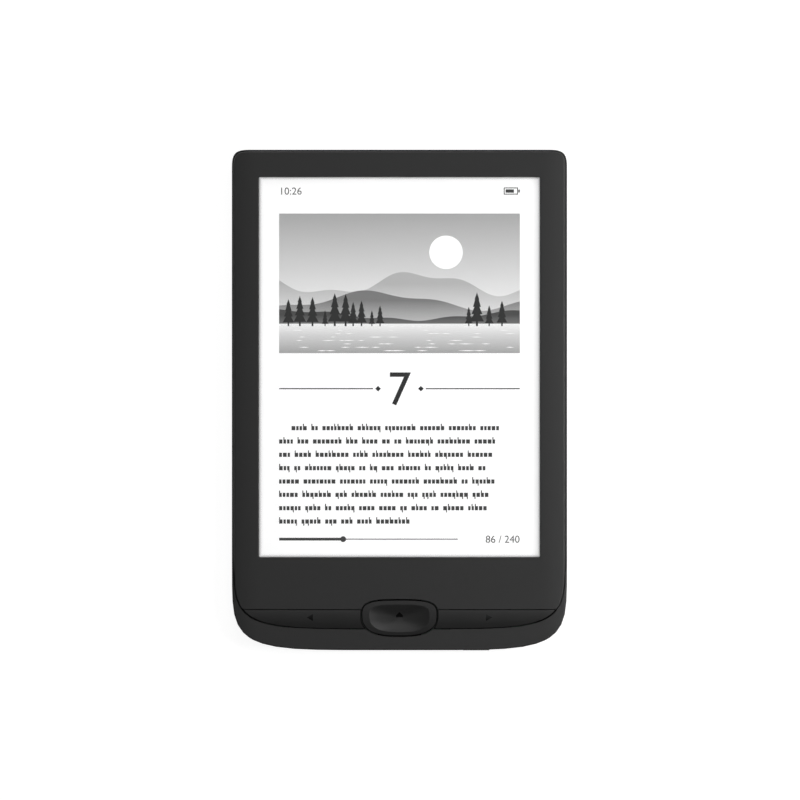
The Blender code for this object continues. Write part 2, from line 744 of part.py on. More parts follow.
def bay_ribs():
    """Ribs on the floor round the battery."""
    floor = (REAR_WALL - BITE, REAR_WALL + BAY_RIB_HEIGHT)
    inner = BATTERY_WIDTH / 2 + BAY_RIB_GAP
    length = (BATTERY_BOTTOM + BAY_RIB_SET_IN, BATTERY_TOP - BAY_RIB_SET_IN)
    across = (-BATTERY_WIDTH / 2 + BAY_RIB_SET_IN, BATTERY_WIDTH / 2 - BAY_RIB_SET_IN)
    top = (BATTERY_TOP + BAY_RIB_GAP, BATTERY_TOP + BAY_RIB_GAP + BAY_RIB)
    return [
        block("bay_rib_left", (-inner - BAY_RIB, -inner), length, floor),
        block("bay_rib_right", (inner, inner + BAY_RIB), length, floor),
        block("bay_rib_top", across, top, floor),
    ]


def board_posts():
    """Posts that carry the press of each front switch to the back of the case."""
    level = (REAR_WALL - BITE, BOARD_BACK - REST_GAP)
    return [
        cylinder(f"board_post_{i}", (x, y, 0), POST_RADIUS, *level)
        for i, (x, y) in enumerate(front_switch_places().values())
    ]


def hooks(name, clearance):
    """Snap hooks on the tongue, or with a clearance the pockets that they catch in."""
    face = HALF_WIDTH - STEP - SKIRT - TONGUE_GAP
    depth = TONGUE_GAP + HOOK_DEPTH + clearance
    level = PARTING_HEIGHT + TONGUE_HEIGHT / 2
    boxes = []
    for side in (-1, 1):
        x = sorted((side * (face - TONGUE / 2), side * (face + depth)))
        for row, y in enumerate(HOOK_ROWS):
            boxes.append(
                block(
                    f"{name}_{row}_{'left' if side < 0 else 'right'}",
                    x,
                    around(y, HOOK_LENGTH + 2 * clearance),
                    around(level, HOOK_HEIGHT + 2 * clearance),
                )
            )
    return boxes


def rear_cover():
    shell = extrude("rear_cover", outline(BODY), 0, FRONT)
    round_rim(shell, 0, REAR_EDGE_RADIUS, 4)
    round_rim(shell, FRONT, FRONT_EDGE_RADIUS, 3)
    roll_sides(shell, FRONT - 2 * FRONT_EDGE_RADIUS)
    cut(shell, *front_space())
    cut(shell, extrude("rear_cavity", outline(grown(BODY, -WALL)), REAR_WALL, LIP_BOTTOM))
    cut(shell, chin_pocket())
    notch = outline(grown(HOME, HOME_GAP))
    cut(shell, extrude("chin_notch", notch, LIP_BOTTOM - PAST, FRONT + PAST))
    join(shell, *bay_ribs(), *board_posts(), *hooks("hook", 0.0))
    cut(shell, *edge_openings())
    keep(shell, "black_plastic")


def case_bosses():
    """Screw bosses behind the bezel, beside the display, and the holes in them."""
    level = (CHASSIS_FRONT + SCREW_GAP, BEZEL_BACK + BITE)
    depth = CHASSIS_BACK + CASE_SCREW_LENGTH + SCREW_GAP
    bosses, holes = [], []
    for place, (x, y) in case_screw_places().items():
        bosses.append(cylinder(f"boss_{place}", (x, y, 0), BOSS_RADIUS, *level))
        holes.append(
            cylinder(f"boss_hole_{place}", (x, y, 0), SCREW_RADIUS + SCREW_GAP, CHASSIS_BACK, depth)
        )
    return bosses, holes


def crease_ribs():
    """Stiffening ribs behind the bezel, just clear of the page keys' flanges."""
    y = CREASE_Y + KEY_FLANGE + CREASE_RIB_GAP
    start = HOME_HALF_WIDTH + HOME_GAP + PAGE_FLANGE_START
    ribs = []
    for name, side in (("left", -1), ("right", 1)):
        x = sorted((side * start, side * (start + PAGE_FLANGE_LENGTH)))
        ribs.append(
            block(f"crease_rib_{name}", x, (y, y + CREASE_RIB), (LIP_BOTTOM, BEZEL_BACK + BITE))
        )
    return ribs


def window():
    """The screen window, which opens out along a rounded front edge and carries on above it."""
    def ring(by, z):
        width, height = WINDOW_WIDTH + 2 * by, WINDOW_HEIGHT + 2 * by
        points = rounded_box(width, height, WINDOW_CORNER + by, EDGE_STEPS)
        return [(x, y, z) for x, y in moved(points, 0, (WINDOW_TOP + WINDOW_BOTTOM) / 2)]

    rings = [ring(0, BEZEL_BACK - PAST)]
    for i in range(EDGE_STEPS):
        angle = math.pi / 2 * i / EDGE_STEPS
        by, fall = WINDOW_EDGE * (1 - math.cos(angle)), WINDOW_EDGE * (1 - math.sin(angle))
        rings.append(ring(by, FRONT - fall))
    carry_on = (WINDOW_EDGE - by) * PAST / fall
    rings.append(ring(WINDOW_EDGE + carry_on, FRONT + PAST))
    return loft("window", rings)


def front_bezel():
    frame = extrude("front_bezel", outline(BEZEL), PARTING_HEIGHT + PARTING_GAP, FRONT)
    round_rim(frame, FRONT, FRONT_EDGE_RADIUS, 3)
    roll_sides(frame, FRONT - 2 * FRONT_EDGE_RADIUS)
    inner = outline(grown(BEZEL, -SKIRT))
    cut(frame, extrude("bezel_cavity", inner, PARTING_HEIGHT - PAST, BEZEL_BACK))
    bosses, holes = case_bosses()
    join(frame, *bosses, *crease_ribs())
    cut(frame, *holes, *hooks("hook_pocket", HOOK_CLEARANCE))
    cut(frame, window())
    wide = (-HALF_WIDTH - PAST, HALF_WIDTH + PAST)
    cut(frame, block("key_zone", wide, (BOTTOM - PAST, CREASE_Y), (0, FRONT + PAST)))
    notch = outline(grown(HOME, HOME_GAP))
    cut(frame, extrude("bezel_notch", notch, BEZEL_BACK - PAST, FRONT + PAST))
    keep(frame, "black_plastic")


# Keys


def page_key(name, side):
    """One page key: the strip's outline on one side of the home key, curled like the strip."""
    key = extrude(
        name, outline(grown(BEZEL, SEAM_GAP - KEY_SEAM_GAP)), KEY_FLOOR - PAST, FRONT + PAST
    )
    wide = (-HALF_WIDTH - PAST, HALF_WIDTH + PAST)
    tall = (KEY_FLOOR - 2 * PAST, FRONT + 2 * PAST)
    cut(
        key,
        block(f"{name}_above", wide, (CREASE_Y - PAGE_KEY_GAP, TOP + PAST), tall),
        block(f"{name}_other", sorted((0, -side * wide[1])), (BOTTOM, TOP), tall),
        extrude(f"{name}_home", outline(grown(HOME, HOME_GAP)), *tall),
    )
    rows = steps_between(CREASE_Y, SEAM_Y - PAST, 9)
    face = [(y, strip_surface(y)) for y in rows]
    under = [(y, z - PAGE_KEY_WALL) for y, z in reversed(face)]
    curl = extrude(f"{name}_curl", face + under, *wide, axis="X")
    common(key, roll_sides(curl, 0))
    start = HOME_HALF_WIDTH + HOME_GAP + PAGE_FLANGE_START
    x = sorted((side * start, side * (start + PAGE_FLANGE_LENGTH)))
    high = (HIGH_FLANGE_TOP - FLANGE_THICKNESS, HIGH_FLANGE_TOP)
    low = (KEY_FLOOR, LOW_FLANGE_TOP)
    nub_root = strip_surface(PAGE_SWITCH_Y) - PAGE_KEY_WALL / 2
    join(
        key,
        block(f"{name}_high_flange", x, (CREASE_Y - STRIP_HEIGHT / 2, CREASE_Y + KEY_FLANGE), high),
        block(f"{name}_low_flange", x, (SEAM_Y - KEY_FLANGE, SEAM_Y + STRIP_HEIGHT / 4), low),
        cylinder(
            f"{name}_nub", (side * PAGE_SWITCH_X, PAGE_SWITCH_Y, 0), NUB_RADIUS, NUB_Z, nub_root
        ),
    )
    keep(key, "black_plastic")


def dish():
    """A bowl whose edge lies on the home key's rim, and which carries on above it."""
    points = outline(DISH)
    middle = (DISH.top + DISH.bottom) / 2
    rings = []
    for share in (0.02, 0.25, 0.45, 0.62, 0.76, 0.88, 1.0, 1.12):
        ring = []
        for x, y in points:
            row = middle + (y - middle) * share
            ring.append((x * share, row, home_surface(row) - DISH_DEPTH * (1 - share**2)))
        rings.append(ring)
    rings.append([(x, y, FRONT + PAST) for x, y, _ in rings[-1]])
    return loft("dish", rings)


def home_key():
    key = extrude("home_key", outline(HOME), KEY_FLOOR, FRONT + PAST)
    rows = steps_between(HOME_TOP + PAST, HOME_TOP, 1) + steps_between(HOME_TOP, HOME_BOTTOM, 10)[1:]
    face = [(y, home_surface(min(y, HOME_TOP))) for y in rows + [HOME_BOTTOM - PAST]]
    solid = face + [(HOME_BOTTOM - PAST, KEY_FLOOR - PAST), (HOME_TOP + PAST, KEY_FLOOR - PAST)]
    wide = (-HOME_HALF_WIDTH - PAST, HOME_HALF_WIDTH + PAST)
    common(key, extrude("home_curl", solid, *wide, axis="X"))
    cut(key, dish())
    x = around(0, 2 * HOME_TAB)
    high = (HIGH_FLANGE_TOP - FLANGE_THICKNESS, HIGH_FLANGE_TOP)
    low = (KEY_FLOOR, LOW_FLANGE_TOP)
    join(
        key,
        block("home_top_tab", x, (HOME_TOP - TAB_ROOT, HOME_TOP + KEY_FLANGE), high),
        block("home_low_tab", x, (HOME_BOTTOM - KEY_FLANGE, HOME_BOTTOM + TAB_ROOT), low),
        cylinder("home_nub", (0, HOME_SWITCH_Y, 0), NUB_RADIUS, NUB_Z, KEY_FLOOR + BITE),
    )
    keep(key, "black_plastic")


def power_key():
    length, height = POWER_LENGTH, POWER_HEIGHT
    cap = moved(rounded_box(height, length, height / 2), POWER_Z, POWER_X)
    key = extrude("power_key", cap, BOTTOM - POWER_PROUD, POWER_FLANGE_Y + BITE, axis="Y")
    side = 2 * POWER_FLANGE_SIDE
    flange_end = POWER_FLANGE_Y + POWER_FLANGE
    flange = block(
        "power_flange",
        around(POWER_X, length + side),
        (POWER_FLANGE_Y, flange_end),
        around(POWER_Z, height + side),
    )
    nub = cylinder(
        "power_nub", (POWER_X, 0, POWER_Z), SIDE_PLUNGER_RADIUS, flange_end - BITE, POWER_TIP_Y, "Y"
    )
    join(key, flange, nub)
    keep(key, "black_plastic")


# Switches


def front_switch_places():
    return {
        "home": (0.0, HOME_SWITCH_Y),
        "left_page": (-PAGE_SWITCH_X, PAGE_SWITCH_Y),
        "right_page": (PAGE_SWITCH_X, PAGE_SWITCH_Y),
    }


def front_switch(name, x, y):
    housing = block(
        f"{name}_switch", around(x, SWITCH_SIZE), around(y, SWITCH_SIZE), (BOARD_SEAT, SWITCH_TOP)
    )
    low = SWITCH_TOP - PLUNGER_GRIP
    floor = low - KEY_TRAVEL - REST_GAP
    bore = PLUNGER_RADIUS + PLUNGER_GAP
    cut(housing, cylinder(f"{name}_switch_bore", (x, y, 0), bore, floor, SWITCH_TOP + PAST))
    keep(housing, "steel")
    keep(cylinder(f"{name}_switch_plunger", (x, y, 0), PLUNGER_RADIUS, low, PLUNGER_TOP), "cream_plastic")


def power_switch():
    x, z = POWER_X, POWER_Z
    end = SIDE_SWITCH_Y + SIDE_SWITCH_DEPTH
    housing = block(
        "power_switch",
        around(x, SIDE_SWITCH_LENGTH),
        (SIDE_SWITCH_Y, end),
        (BOARD_SEAT, BOARD_SEAT + SIDE_SWITCH_HEIGHT),
    )
    low = POWER_TIP_Y + REST_GAP
    high = SIDE_SWITCH_Y + PLUNGER_GRIP
    floor = high + KEY_TRAVEL + REST_GAP
    bore = SIDE_PLUNGER_RADIUS + PLUNGER_GAP
    cut(housing, cylinder("power_switch_bore", (x, 0, z), bore, SIDE_SWITCH_Y - PAST, floor, "Y"))
    keep(housing, "steel")
    plunger = cylinder("power_switch_plunger", (x, 0, z), SIDE_PLUNGER_RADIUS, low, high, "Y")
    keep(plunger, "cream_plastic")


# Display


def display_layers():
    wide = around(0, 2 * DISPLAY_HALF)
    full = (DISPLAY_BOTTOM, DISPLAY_TOP)
    guide_bottom = DISPLAY_BOTTOM + STRIP_DEPTH + LAYER_GAP
    film_x = around(0, WINDOW_WIDTH + 2 * FILM_MARGIN)
    film_y = (WINDOW_BOTTOM - FILM_MARGIN, WINDOW_TOP + FILM_MARGIN)
    layers = (
        ("display_backplane", wide, full, BACKPLANE_Z, BACKPLANE_THICKNESS, "glass"),
        ("epaper_film", film_x, film_y, FILM_Z, FILM_THICKNESS, "paper"),
        ("light_guide", wide, (guide_bottom, DISPLAY_TOP), GUIDE_Z, GUIDE_THICKNESS, "clear"),
        ("touch_panel", wide, full, TOUCH_Z, TOUCH_THICKNESS, "clear"),
    )
    for name, x, y, z, thickness, finish in layers:
        keep(block(name, x, y, (z, z + thickness)), finish)


def display_gasket():
    level = (GASKET_Z, GASKET_Z + GASKET_THICKNESS)
    outer_x = around(0, 2 * (DISPLAY_HALF - LAYER_GAP))
    gasket = block("display_gasket", outer_x, (DISPLAY_BOTTOM + LAYER_GAP, DISPLAY_TOP - LAYER_GAP), level)
    inner_y = (WINDOW_BOTTOM - GASKET_MARGIN, WINDOW_TOP + GASKET_MARGIN)
    hole = block(
        "gasket_hole",
        around(0, WINDOW_WIDTH + 2 * GASKET_MARGIN),
        inner_y,
        (GASKET_Z - PAST, GASKET_Z + PAST),
    )
    keep(cut(gasket, hole), "foam")


def frontlight_strip():
    """LEDs on a narrow flex along the lower edge of the light guide."""
    y = (DISPLAY_BOTTOM, DISPLAY_BOTTOM + STRIP_DEPTH)
    strip = block("frontlight_strip", around(0, WINDOW_WIDTH), y, (GUIDE_Z, GUIDE_Z + STRIP_BASE))
    pitch = WINDOW_WIDTH / STRIP_LED_COUNT
    level = (GUIDE_Z + STRIP_BASE / 2, GUIDE_Z + GUIDE_THICKNESS)
    for i in range(STRIP_LED_COUNT):
        x = (i + 0.5) * pitch - WINDOW_WIDTH / 2
        led_y = (y[1] - STRIP_LED_DEPTH - LAYER_GAP, y[1] - LAYER_GAP)
        join(strip, block(f"strip_led_{i}", around(x, STRIP_LED_LENGTH), led_y, level))
    keep(strip, "flex")


def flex_path(start_z, end_z):
    """Middle line of a flex from the display's lower edge down into its connector."""
    start = DISPLAY_BOTTOM - FENCE_GAP
    bend = CHASSIS_BOTTOM - FENCE_WALL
    end = CONNECTOR_Y + FENCE_WALL
    path = [(start, start_z)]
    for i in range(11):
        share = i / 10
        ease = share * share * (3 - 2 * share)
        path.append((bend + (end - bend) * share, start_z + (end_z - start_z) * ease))
    path.append((CONNECTOR_Y - FLEX_INSERT, end_z))
    return path


def ribbon(path, thickness):
    """Closed outline of a band of even thickness about a path."""
    front, back = [], []
    for i, (u, v) in enumerate(path):
        before, after = path[max(i - 1, 0)], path[min(i + 1, len(path) - 1)]
        length = math.dist(before, after)
        across = ((before[1] - after[1]) / length, (after[0] - before[0]) / length)
        front.append((u + across[0] * thickness / 2, v + across[1] * thickness / 2))
        back.append((u - across[0] * thickness / 2, v - across[1] * thickness / 2))
    return front + back[::-1]


def flex_and_connector(name, x, width, start_z):
    mouth_z = BOARD_SEAT + CONNECTOR_HEIGHT / 2
    points = ribbon(flex_path(start_z, mouth_z), FLEX_THICKNESS)
    keep(extrude(f"{name}_flex", points, *around(x, width), axis="X"), "flex")
    body = block(
        f"{name}_connector",
        around(x, width + 2 * CONNECTOR_SIDE),
        (CONNECTOR_Y - CONNECTOR_DEPTH, CONNECTOR_Y),
        (BOARD_SEAT, BOARD_SEAT + CONNECTOR_HEIGHT),
    )
    mouth = block(
        f"{name}_mouth",
        around(x, width + 2 * FLEX_CLEARANCE),
        (CONNECTOR_Y - FLEX_INSERT - FLEX_CLEARANCE, CONNECTOR_Y + PAST),
        around(mouth_z, FLEX_THICKNESS + 2 * FLEX_CLEARANCE),
    )
    keep(cut(body, mouth), "cream_plastic")


# Chassis and screws


def case_screw_places():
    return {
        f"case_screw_{name}_{row}": (side * BOSS_X, y)
        for name, side in (("left", -1), ("right", 1))
        for row, y in zip(("low", "mid", "top"), CASE_SCREW_ROWS)
    }


def board_screw_places():
    return {
        f"board_screw_{name}_{row}": (side * BOARD_SCREW_X, y)
        for name, side in (("left", -1), ("right", 1))
        for row, y in zip(("top", "low"), BOARD_SCREW_ROWS)
    }


def chassis():
    plate = extrude(
        "chassis", outline(grown(BODY, -WALL - BOSS_WALL_GAP)), CHASSIS_BACK, CHASSIS_FRONT
    )
    wide = (-HALF_WIDTH, HALF_WIDTH)
    cut(plate, block("below_chassis", wide, (BOTTOM, CHASSIS_BOTTOM), (0, FRONT)))
    outer, inner = DISPLAY_HALF + FENCE_GAP + FENCE_WALL, DISPLAY_HALF + FENCE_GAP
    level = (CHASSIS_FRONT - BITE, CHASSIS_FRONT + FENCE_HEIGHT)
    fence_y = (WINDOW_BOTTOM, DISPLAY_TOP + FENCE_GAP + FENCE_WALL)
    fence = block("fence", around(0, 2 * outer), fence_y, level)
    well = block(
        "fence_well",
        around(0, 2 * inner),
        (WINDOW_BOTTOM - PAST, DISPLAY_TOP + FENCE_GAP),
        (CHASSIS_FRONT - 2 * BITE, FRONT),
    )
    join(plate, cut(fence, well))
    for place, (x, y) in board_screw_places().items():
        level = (BOARD_FRONT + SOLDER_GAP, CHASSIS_BACK + BITE)
        join(plate, cylinder(f"standoff_{place}", (x, y, 0), STANDOFF_RADIUS, *level))
    for place, (x, y) in {**case_screw_places(), **board_screw_places()}.items():
        radius = SCREW_RADIUS + SCREW_GAP
        cut(plate, cylinder(f"chassis_hole_{place}", (x, y, 0), radius, BOARD_BACK, FRONT))
    keep(plate, "aluminium")


def screw(name, x, y, seat, length):
    """A pan-head screw, driven from the back, with its head under a seat."""
    top = seat - SCREW_GAP
    head = top - SCREW_HEAD
    profile = [
        (0, head),
        (SCREW_HEAD_RADIUS, head),
        (SCREW_HEAD_RADIUS, top),
        (SCREW_RADIUS, top),
        (SCREW_RADIUS, seat + length),
        (0, seat + length),
    ]
    body = turned(name, profile, (x, y, 0), sides=16)
    drive = cylinder(f"{name}_drive", (x, y, 0), SCREW_DRIVE, head - PAST, head + SCREW_HEAD / 2, sides=6)
    keep(cut(body, drive), "steel")


def screws():
    for place, (x, y) in case_screw_places().items():
        screw(place, x, y, CHASSIS_BACK, CASE_SCREW_LENGTH)
    for place, (x, y) in board_screw_places().items():
        screw(place, x, y, BOARD_BACK, BOARD_SCREW_LENGTH)


# Main board and sockets


def main_board():
    board = extrude("main_board", outline(grown(BODY, -BOARD_INSET)), BOARD_BACK, BOARD_FRONT)
    tall = (BOARD_BACK - PAST, BOARD_FRONT + PAST)
    half = BOARD_WIDTH / 2
    far = HALF_WIDTH + PAST
    notch = USB_WIDTH / 2 + BOARD_NOTCH_GAP
    cut(
        board,
        block("above_board", (-far, far), (BOARD_TOP, TOP + PAST), tall),
        block("left_of_board", (-far, -half), (BOTTOM, TOP), tall),
        block("right_of_board", (half, far), (BOTTOM, TOP), tall),
        block("usb_notch", (USB_X - notch, USB_X + notch), (BOTTOM, USB_BACK + BOARD_NOTCH_GAP), tall),
    )
    for place, (x, y) in board_screw_places().items():
        cut(board, cylinder(f"board_hole_{place}", (x, y, 0), SCREW_RADIUS + SCREW_GAP, *tall))
    keep(board, "board")


def chips():
    for name, x, drop, (width, length, height) in CHIPS:
        y = BOARD_TOP - drop
        level = (BOARD_UNDER - height, BOARD_UNDER)
        finish = "steel" if name.startswith("wifi") else "chip"
        keep(block(name, around(x, width), around(y, length), level), finish)


def processor_shield():
    """An open can over the processor and its memory."""
    covered = [chip for chip in CHIPS if chip[0] in ("processor_chip", "memory_chip")]
    low_x = min(x - size[0] / 2 for _, x, _, size in covered) - SHIELD_GAP
    high_x = max(x + size[0] / 2 for _, x, _, size in covered) + SHIELD_GAP
    low_y = BOARD_TOP - max(drop + size[1] / 2 for _, _, drop, size in covered) - SHIELD_GAP
    high_y = BOARD_TOP - min(drop - size[1] / 2 for _, _, drop, size in covered) + SHIELD_GAP
    can = block(
        "processor_shield", (low_x, high_x), (low_y, high_y), (BOARD_UNDER - SHIELD_HEIGHT, BOARD_UNDER)
    )
    wall = SHIELD_WALL
    hollow = block(
        "shield_hollow",
        (low_x + wall, high_x - wall),
        (low_y + wall, high_y - wall),
        (BOARD_UNDER - SHIELD_HEIGHT + wall, BOARD_UNDER + PAST),
    )
    keep(cut(can, hollow), "steel")


def usb_socket():
    outer = moved(rounded_box(USB_HEIGHT, USB_WIDTH, USB_HEIGHT / 2), USB_Z, USB_X)
    inner_height = USB_HEIGHT - 2 * USB_WALL
    inner_width = USB_WIDTH - 2 * USB_WALL
    inner = moved(rounded_box(inner_height, inner_width, inner_height / 2), USB_Z, USB_X)
    shell = extrude("usb_shell", outer, USB_FRONT, USB_BACK, axis="Y")
    cut(shell, extrude("usb_hollow", inner, USB_FRONT - PAST, USB_BACK - USB_WALL, axis="Y"))
    keep(shell, "steel")
    tongue = block(
        "usb_tongue",
        around(USB_X, USB_TONGUE_WIDTH),
        (USB_FRONT + USB_TONGUE_SETBACK, USB_BACK - USB_WALL - REST_GAP),
        around(USB_Z, USB_TONGUE_HEIGHT),
    )
    keep(tongue, "chip")


def card_socket():
    front = BOARD_BOTTOM + BOARD_EDGE_GAP
    body = block(
        "card_socket",
        around(CARD_X, CARD_WIDTH),
        (front, front + CARD_LENGTH),
        around(CARD_Z, CARD_HEIGHT),
    )
    slot = block(
        "card_slot",
        around(CARD_X, CARD_SLOT_WIDTH),
        (front - PAST, front + CARD_LENGTH - PAST),
        around(CARD_Z, CARD_SLOT_HEIGHT),
    )
    keep(cut(body, slot), "steel")


def status_light():
    led_y = BOARD_BOTTOM + BOARD_EDGE_GAP
    led = block(
        "status_led",
        around(LIGHT_X, 2 * LED_SIZE),
        (led_y, led_y + LED_SIZE),
        (BOARD_SEAT, BOARD_SEAT + LED_SIZE),
    )
    keep(led, "cream_plastic")
    pipe = cylinder(
        "status_light_pipe",
        (LIGHT_X, 0, LIGHT_Z),
        LIGHT_RADIUS,
        BOTTOM + LIGHT_GAP,
        BOARD_BOTTOM - BOARD_EDGE_GAP,
        "Y",
    )
    keep(pipe, "clear")


# Battery


def battery():
    x = around(0, BATTERY_WIDTH)
    y = (BATTERY_BOTTOM, BATTERY_TOP)
    top = BATTERY_Z + BATTERY_THICKNESS
    cell_outline = moved(
        rounded_box(BATTERY_WIDTH, BATTERY_THICKNESS, BATTERY_EDGE), 0, (BATTERY_Z + top) / 2
    )
    cell = [(z, u) for u, z in cell_outline]
    keep(extrude("battery_cell", cell, *y, axis="Y"), "foil")
    set_in = 2 * BAY_RIB
    tape_x = (x[0] + set_in, x[1] - set_in)
    tape_y = (y[0] + set_in, y[1] - set_in)
    keep(block("battery_tape", tape_x, tape_y, (TAPE_Z, TAPE_Z + TAPE_THICKNESS)), "foam")
    guard_top = BATTERY_BOTTOM - GUARD_GAP
    middle = BATTERY_Z + BATTERY_THICKNESS / 2
    guard_y = (guard_top - GUARD_DEPTH, guard_top)
    guard = block("battery_guard_board", around(0, GUARD_LENGTH), guard_y, around(middle, GUARD_HEIGHT))
    keep(guard, "board")


def battery_leads():
    """Two leads from the guard board, bent down to the plug on the back of the board."""
    z = BOARD_UNDER - PLUG_HEIGHT / 2
    guard_middle = BATTERY_BOTTOM - GUARD_GAP - GUARD_DEPTH / 2
    plug_top = BOARD_TOP - LAYER_GAP
    start = GUARD_LENGTH / 2 + REST_GAP
    first = GUARD_LENGTH / 2 + LEAD_REACH
    for i, (name, finish) in enumerate((("red", "red_cover"), ("black", "black_cover"))):
        offset = (i - 0.5) * LEAD_PITCH
        y = guard_middle + offset * (GUARD_DEPTH - 2 * LEAD_RADIUS) / (2 * LEAD_PITCH)
        x = first + i * LEAD_PITCH
        bend = LEAD_BEND + i * LEAD_PITCH / 2
        path = [(start, y, z)]
        for turn in range(7):
            angle = math.pi / 2 * turn / 6
            path.append((x - bend + bend * math.sin(angle), y - bend + bend * math.cos(angle), z))
        path.append((x, plug_top + REST_GAP, z))
        keep(wire(f"battery_lead_{name}", path, LEAD_RADIUS), finish)
    plug = block(
        "battery_plug",
        around(first + LEAD_PITCH / 2, PLUG_SIZE),
        (plug_top - PLUG_SIZE, plug_top),
        (BOARD_UNDER - PLUG_HEIGHT, BOARD_UNDER),
    )
    keep(plug, "cream_plastic")


def wire(name, path, radius):
    curve = bpy.data.curves.new(name, "CURVE")
    curve.dimensions = "3D"
    curve.bevel_depth = radius
    curve.bevel_resolution = 2
    curve.use_fill_caps = True
    spline = curve.splines.new("POLY")
    spline.points.add(len(path) - 1)
    for point, place in zip(spline.points, path):
        point.co = (*place, 1.0)
    return add_object(name, curve)


def build():
    rear_cover()
    front_bezel()
    page_key("left_page_key", -1)
    page_key("right_page_key", 1)
    home_key()
    power_key()
    for name, (x, y) in front_switch_places().items():
        front_switch(name, x, y)
    power_switch()
    display_layers()
    display_gasket()
    frontlight_strip()
    for flex in FLEXES:
        flex_and_connector(*flex)
    chassis()
    screws()
    main_board()
    chips()
    processor_shield()
    usb_socket()
    card_socket()
    status_light()
    battery()
    battery_leads()


build()
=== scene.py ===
"""E-reader: the finish of every piece, the page on its screen, the signs on its keys, light and camera.

Metres, in the frame of the solids: +Z out of the screen, +Y to the top of the page.
"""

import json
import math
import random

import bmesh
import bpy
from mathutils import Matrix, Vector
from mathutils.bvhtree import BVHTree


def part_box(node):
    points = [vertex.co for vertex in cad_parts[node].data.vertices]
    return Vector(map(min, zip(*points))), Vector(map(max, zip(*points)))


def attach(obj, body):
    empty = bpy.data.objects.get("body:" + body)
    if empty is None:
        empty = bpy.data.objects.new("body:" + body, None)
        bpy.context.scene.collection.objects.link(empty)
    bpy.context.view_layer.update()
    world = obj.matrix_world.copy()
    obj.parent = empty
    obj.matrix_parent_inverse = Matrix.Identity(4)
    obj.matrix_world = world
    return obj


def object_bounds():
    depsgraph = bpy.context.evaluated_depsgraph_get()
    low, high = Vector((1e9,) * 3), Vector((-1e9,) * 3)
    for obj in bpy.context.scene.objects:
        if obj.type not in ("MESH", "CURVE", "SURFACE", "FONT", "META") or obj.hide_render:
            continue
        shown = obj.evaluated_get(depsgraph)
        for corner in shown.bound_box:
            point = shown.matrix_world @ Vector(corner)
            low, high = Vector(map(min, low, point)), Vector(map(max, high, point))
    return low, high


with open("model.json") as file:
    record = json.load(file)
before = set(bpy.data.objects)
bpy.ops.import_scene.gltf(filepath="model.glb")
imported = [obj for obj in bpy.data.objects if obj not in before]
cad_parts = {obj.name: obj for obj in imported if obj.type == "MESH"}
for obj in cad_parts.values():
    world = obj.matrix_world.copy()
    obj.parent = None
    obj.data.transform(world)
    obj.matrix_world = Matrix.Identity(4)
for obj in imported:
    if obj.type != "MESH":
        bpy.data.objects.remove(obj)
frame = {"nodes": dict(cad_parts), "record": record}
CAD_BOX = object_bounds()
NODES = frame["nodes"]

MM = 0.001

# Framing of the photograph: its width at the object, and the object's place in it
FRAME_WIDTH = 257.85 * MM
FRAME_SHIFT_X = 0.17 * MM
CAMERA_HEIGHT = 0.6

# Lamps: the place of each, its size, and its power in watts
LAMPS = {
    "key_light": ((0.354, 0.0, 0.354), 0.22, 1.82),
    "top_light": ((0.0, 0.613, 0.514), 0.4, 1.6),
    "soft_light": ((0.0, 0.0, 0.8), 0.4, 0.62),
}

# Sky: two heights, from 0 at the horizon to 1 overhead, and how bright it is at each
PALE_SKY = (0.04, 1.0)
DIM_SKY = (0.3, 0.03)

# Floor: half its width, its gap to the object, and its finish
FLOOR_HALF = 6.0
FLOOR_GAP = 0.05 * MM
FLOOR_COLOUR = 0.25
FLOOR_MOTTLE = 0.01
FLOOR_GRAIN = 2.0 * MM
FLOOR_ROUGHNESS = 0.9
FLOOR_GLOW = 0.92
WHITE = (1.0, 1.0, 1.0, 1.0)

# Solid finishes: their slow drifts of colour and gloss
DRIFT_SIZE = 9.0 * MM
DRIFT_DETAIL = 3.0
TONE_RANGE = (-0.25, 0.75)
GLOSS_DRIFT = 0.06

# Clear finishes: their darker tone, the drift of their gloss, and their relief
CLEAR_SHADE = 0.97
CLEAR_GLOSS_DRIFT = 0.05
CLEAR_RELIEF = 0.001 * MM

# Values of a noise between which a clear finish or the floor goes from dark to light
NOISE_DARK, NOISE_LIGHT = 0.3, 0.7

# Electronic paper: its white, its front light, painted as a glow of the paper itself, and its specks
PAPER_WHITE = 0.42
PAGE_GLOW = 1.9
PAPER_ROUGHNESS = 0.75
PAPER_SPECULAR = 0.2
PAPER_RELIEF = 0.002 * MM
SPECK_SIZE = 0.12 * MM
SPECK_SHADE = 0.96
SPECK_DARK, SPECK_LIGHT = 0.2, 0.8
SPECK_BLUR = 0.03

# Painted shade of the window's edge on the page, dimming the paper's glow: its reach from each side, and
# its light from the edge inwards
SHADE_LEFT, SHADE_RIGHT = 1.45 * MM, 1.05 * MM
SHADE_BOTTOM, SHADE_TOP = 1.35 * MM, 1.25 * MM
EDGE_SHADE = ((0.0, 0.05), (0.33, 0.55), (0.55, 0.8), (0.78, 0.93), (1.0, 1.0))

# Edge rounding on moulded pieces, and the angles from which an edge is sharp
EDGE_ROUND = 0.12 * MM
HOME_EDGE_ROUND = 0.15 * MM
EDGE_SEGMENTS = 2
SHARP_ANGLE = math.radians(34.0)
DISH_RIM_ANGLE = math.radians(9.0)
FLAT_ANGLE = math.radians(0.3)
WELD_DISTANCE = 0.001 * MM

# Outline of the home key's dish: its widest row, and how far and how squarely it reaches up and down
DISH_WIDEST_Y = -69.35 * MM
DISH_HALF_WIDTH = 9.7 * MM
DISH_UP = (3.4 * MM, 3.3)
DISH_DOWN = (5.5 * MM, 2.7)
